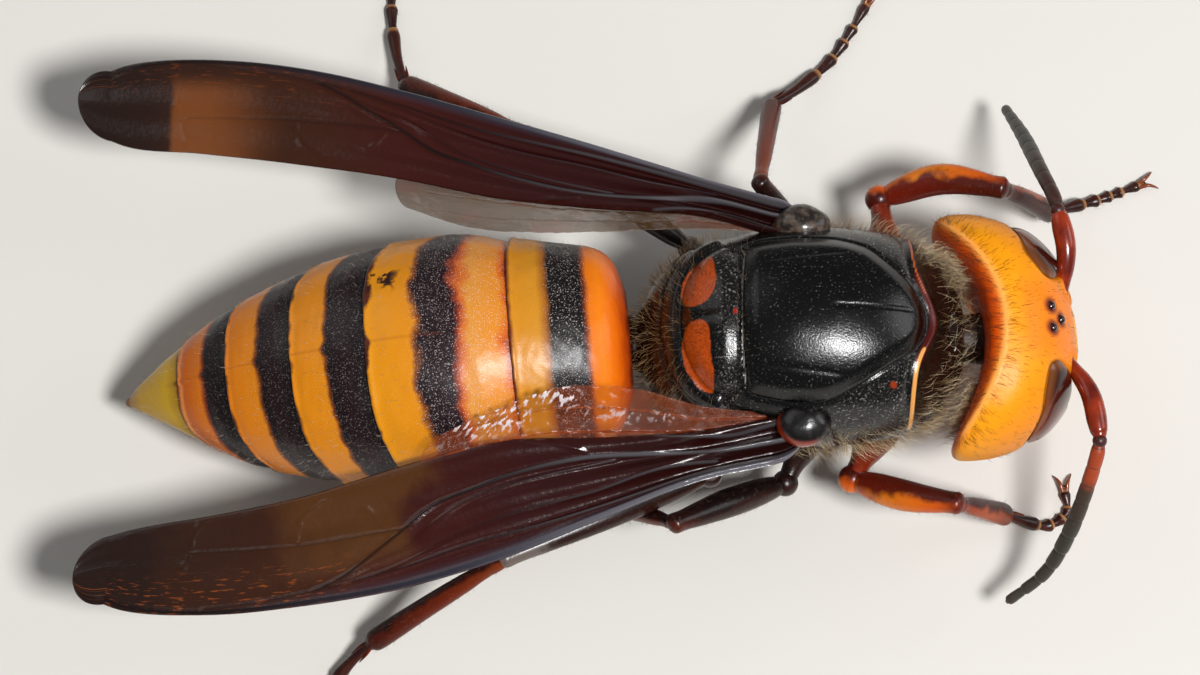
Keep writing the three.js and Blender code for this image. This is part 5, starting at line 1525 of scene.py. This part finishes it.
# Studio, in metres
studioPlan = {
    "floor": {"size": 1.5, "height": -0.00002, "colour": "#D9D6D0"},
    # place, size and watts
    "lights": {
        "keyLight": ((0.09, -0.09, 0.28), 0.06, 0.98),
        "fillLight": ((-0.20, 0.16, 0.22), 0.24, 0.11),
        "frontLight": ((0.26, 0.05, 0.16), 0.15, 0.14),
    },
    "sky": {"Color": "#F2F4F8", "Strength": 0.17},
    # the photo looks down from 76 degrees, 0.2 m away
    "camera": {"place": (-0.0012, -0.05048, 0.20206), "tilt": 14, "focalPixels": 4720, "widthPixels": 1200},
}


def buildStudio():
    card, view = studioPlan["floor"], studioPlan["camera"]
    grid = bmesh.new()
    bmesh.ops.create_grid(grid, x_segments=1, y_segments=1, size=card["size"])
    mesh = bpy.data.meshes.new("studioFloor")
    grid.to_mesh(mesh)
    grid.free()
    material = bpy.data.materials.new("pale matt card")
    material.use_nodes = True
    fill(material.node_tree.nodes["Principled BSDF"], {"Base Color": card["colour"], "Roughness": 0.9})
    mesh.materials.append(material)
    floor = bpy.data.objects.new("studioFloor", mesh)
    floor.location.z = card["height"]
    bpy.context.scene.collection.objects.link(floor)
    for name, (place, size, watts) in studioPlan["lights"].items():
        lamp = bpy.data.lights.new(name, "AREA")
        lamp.shape, lamp.size, lamp.energy = "DISK", size, watts
        light = bpy.data.objects.new(name, lamp)
        light.location = place
        direction = -light.location.copy()
        light.rotation_euler = direction.to_track_quat("-Z", "Y").to_euler()
        bpy.context.scene.collection.objects.link(light)
    world = bpy.data.worlds.new("studio")
    world.use_nodes = True
    fill(world.node_tree.nodes["Background"], studioPlan["sky"])
    bpy.context.scene.world = world
    bpy.context.scene.view_settings.view_transform = "Standard"
    lens = bpy.data.cameras.new("photoView")
    lens.sensor_width = 36
    lens.lens = lens.sensor_width * view["focalPixels"] / view["widthPixels"]
    camera = bpy.data.objects.new("photoView", lens)
    camera.location = view["place"]
    camera.rotation_euler = (math.radians(view["tilt"]), 0, 0)
    bpy.context.scene.collection.objects.link(camera)
    bpy.context.scene.camera = camera
    print("studio")


buildStudio()
head = buildHead()
buildMouth()
thorax = buildThorax()
rings = buildGaster()
buildWings()
buildFeelers()
legs = {name: buildLeg(name, leg) for name, leg in legPlan.items()}
print("legs")
growCoat(head, thorax, rings, legs)
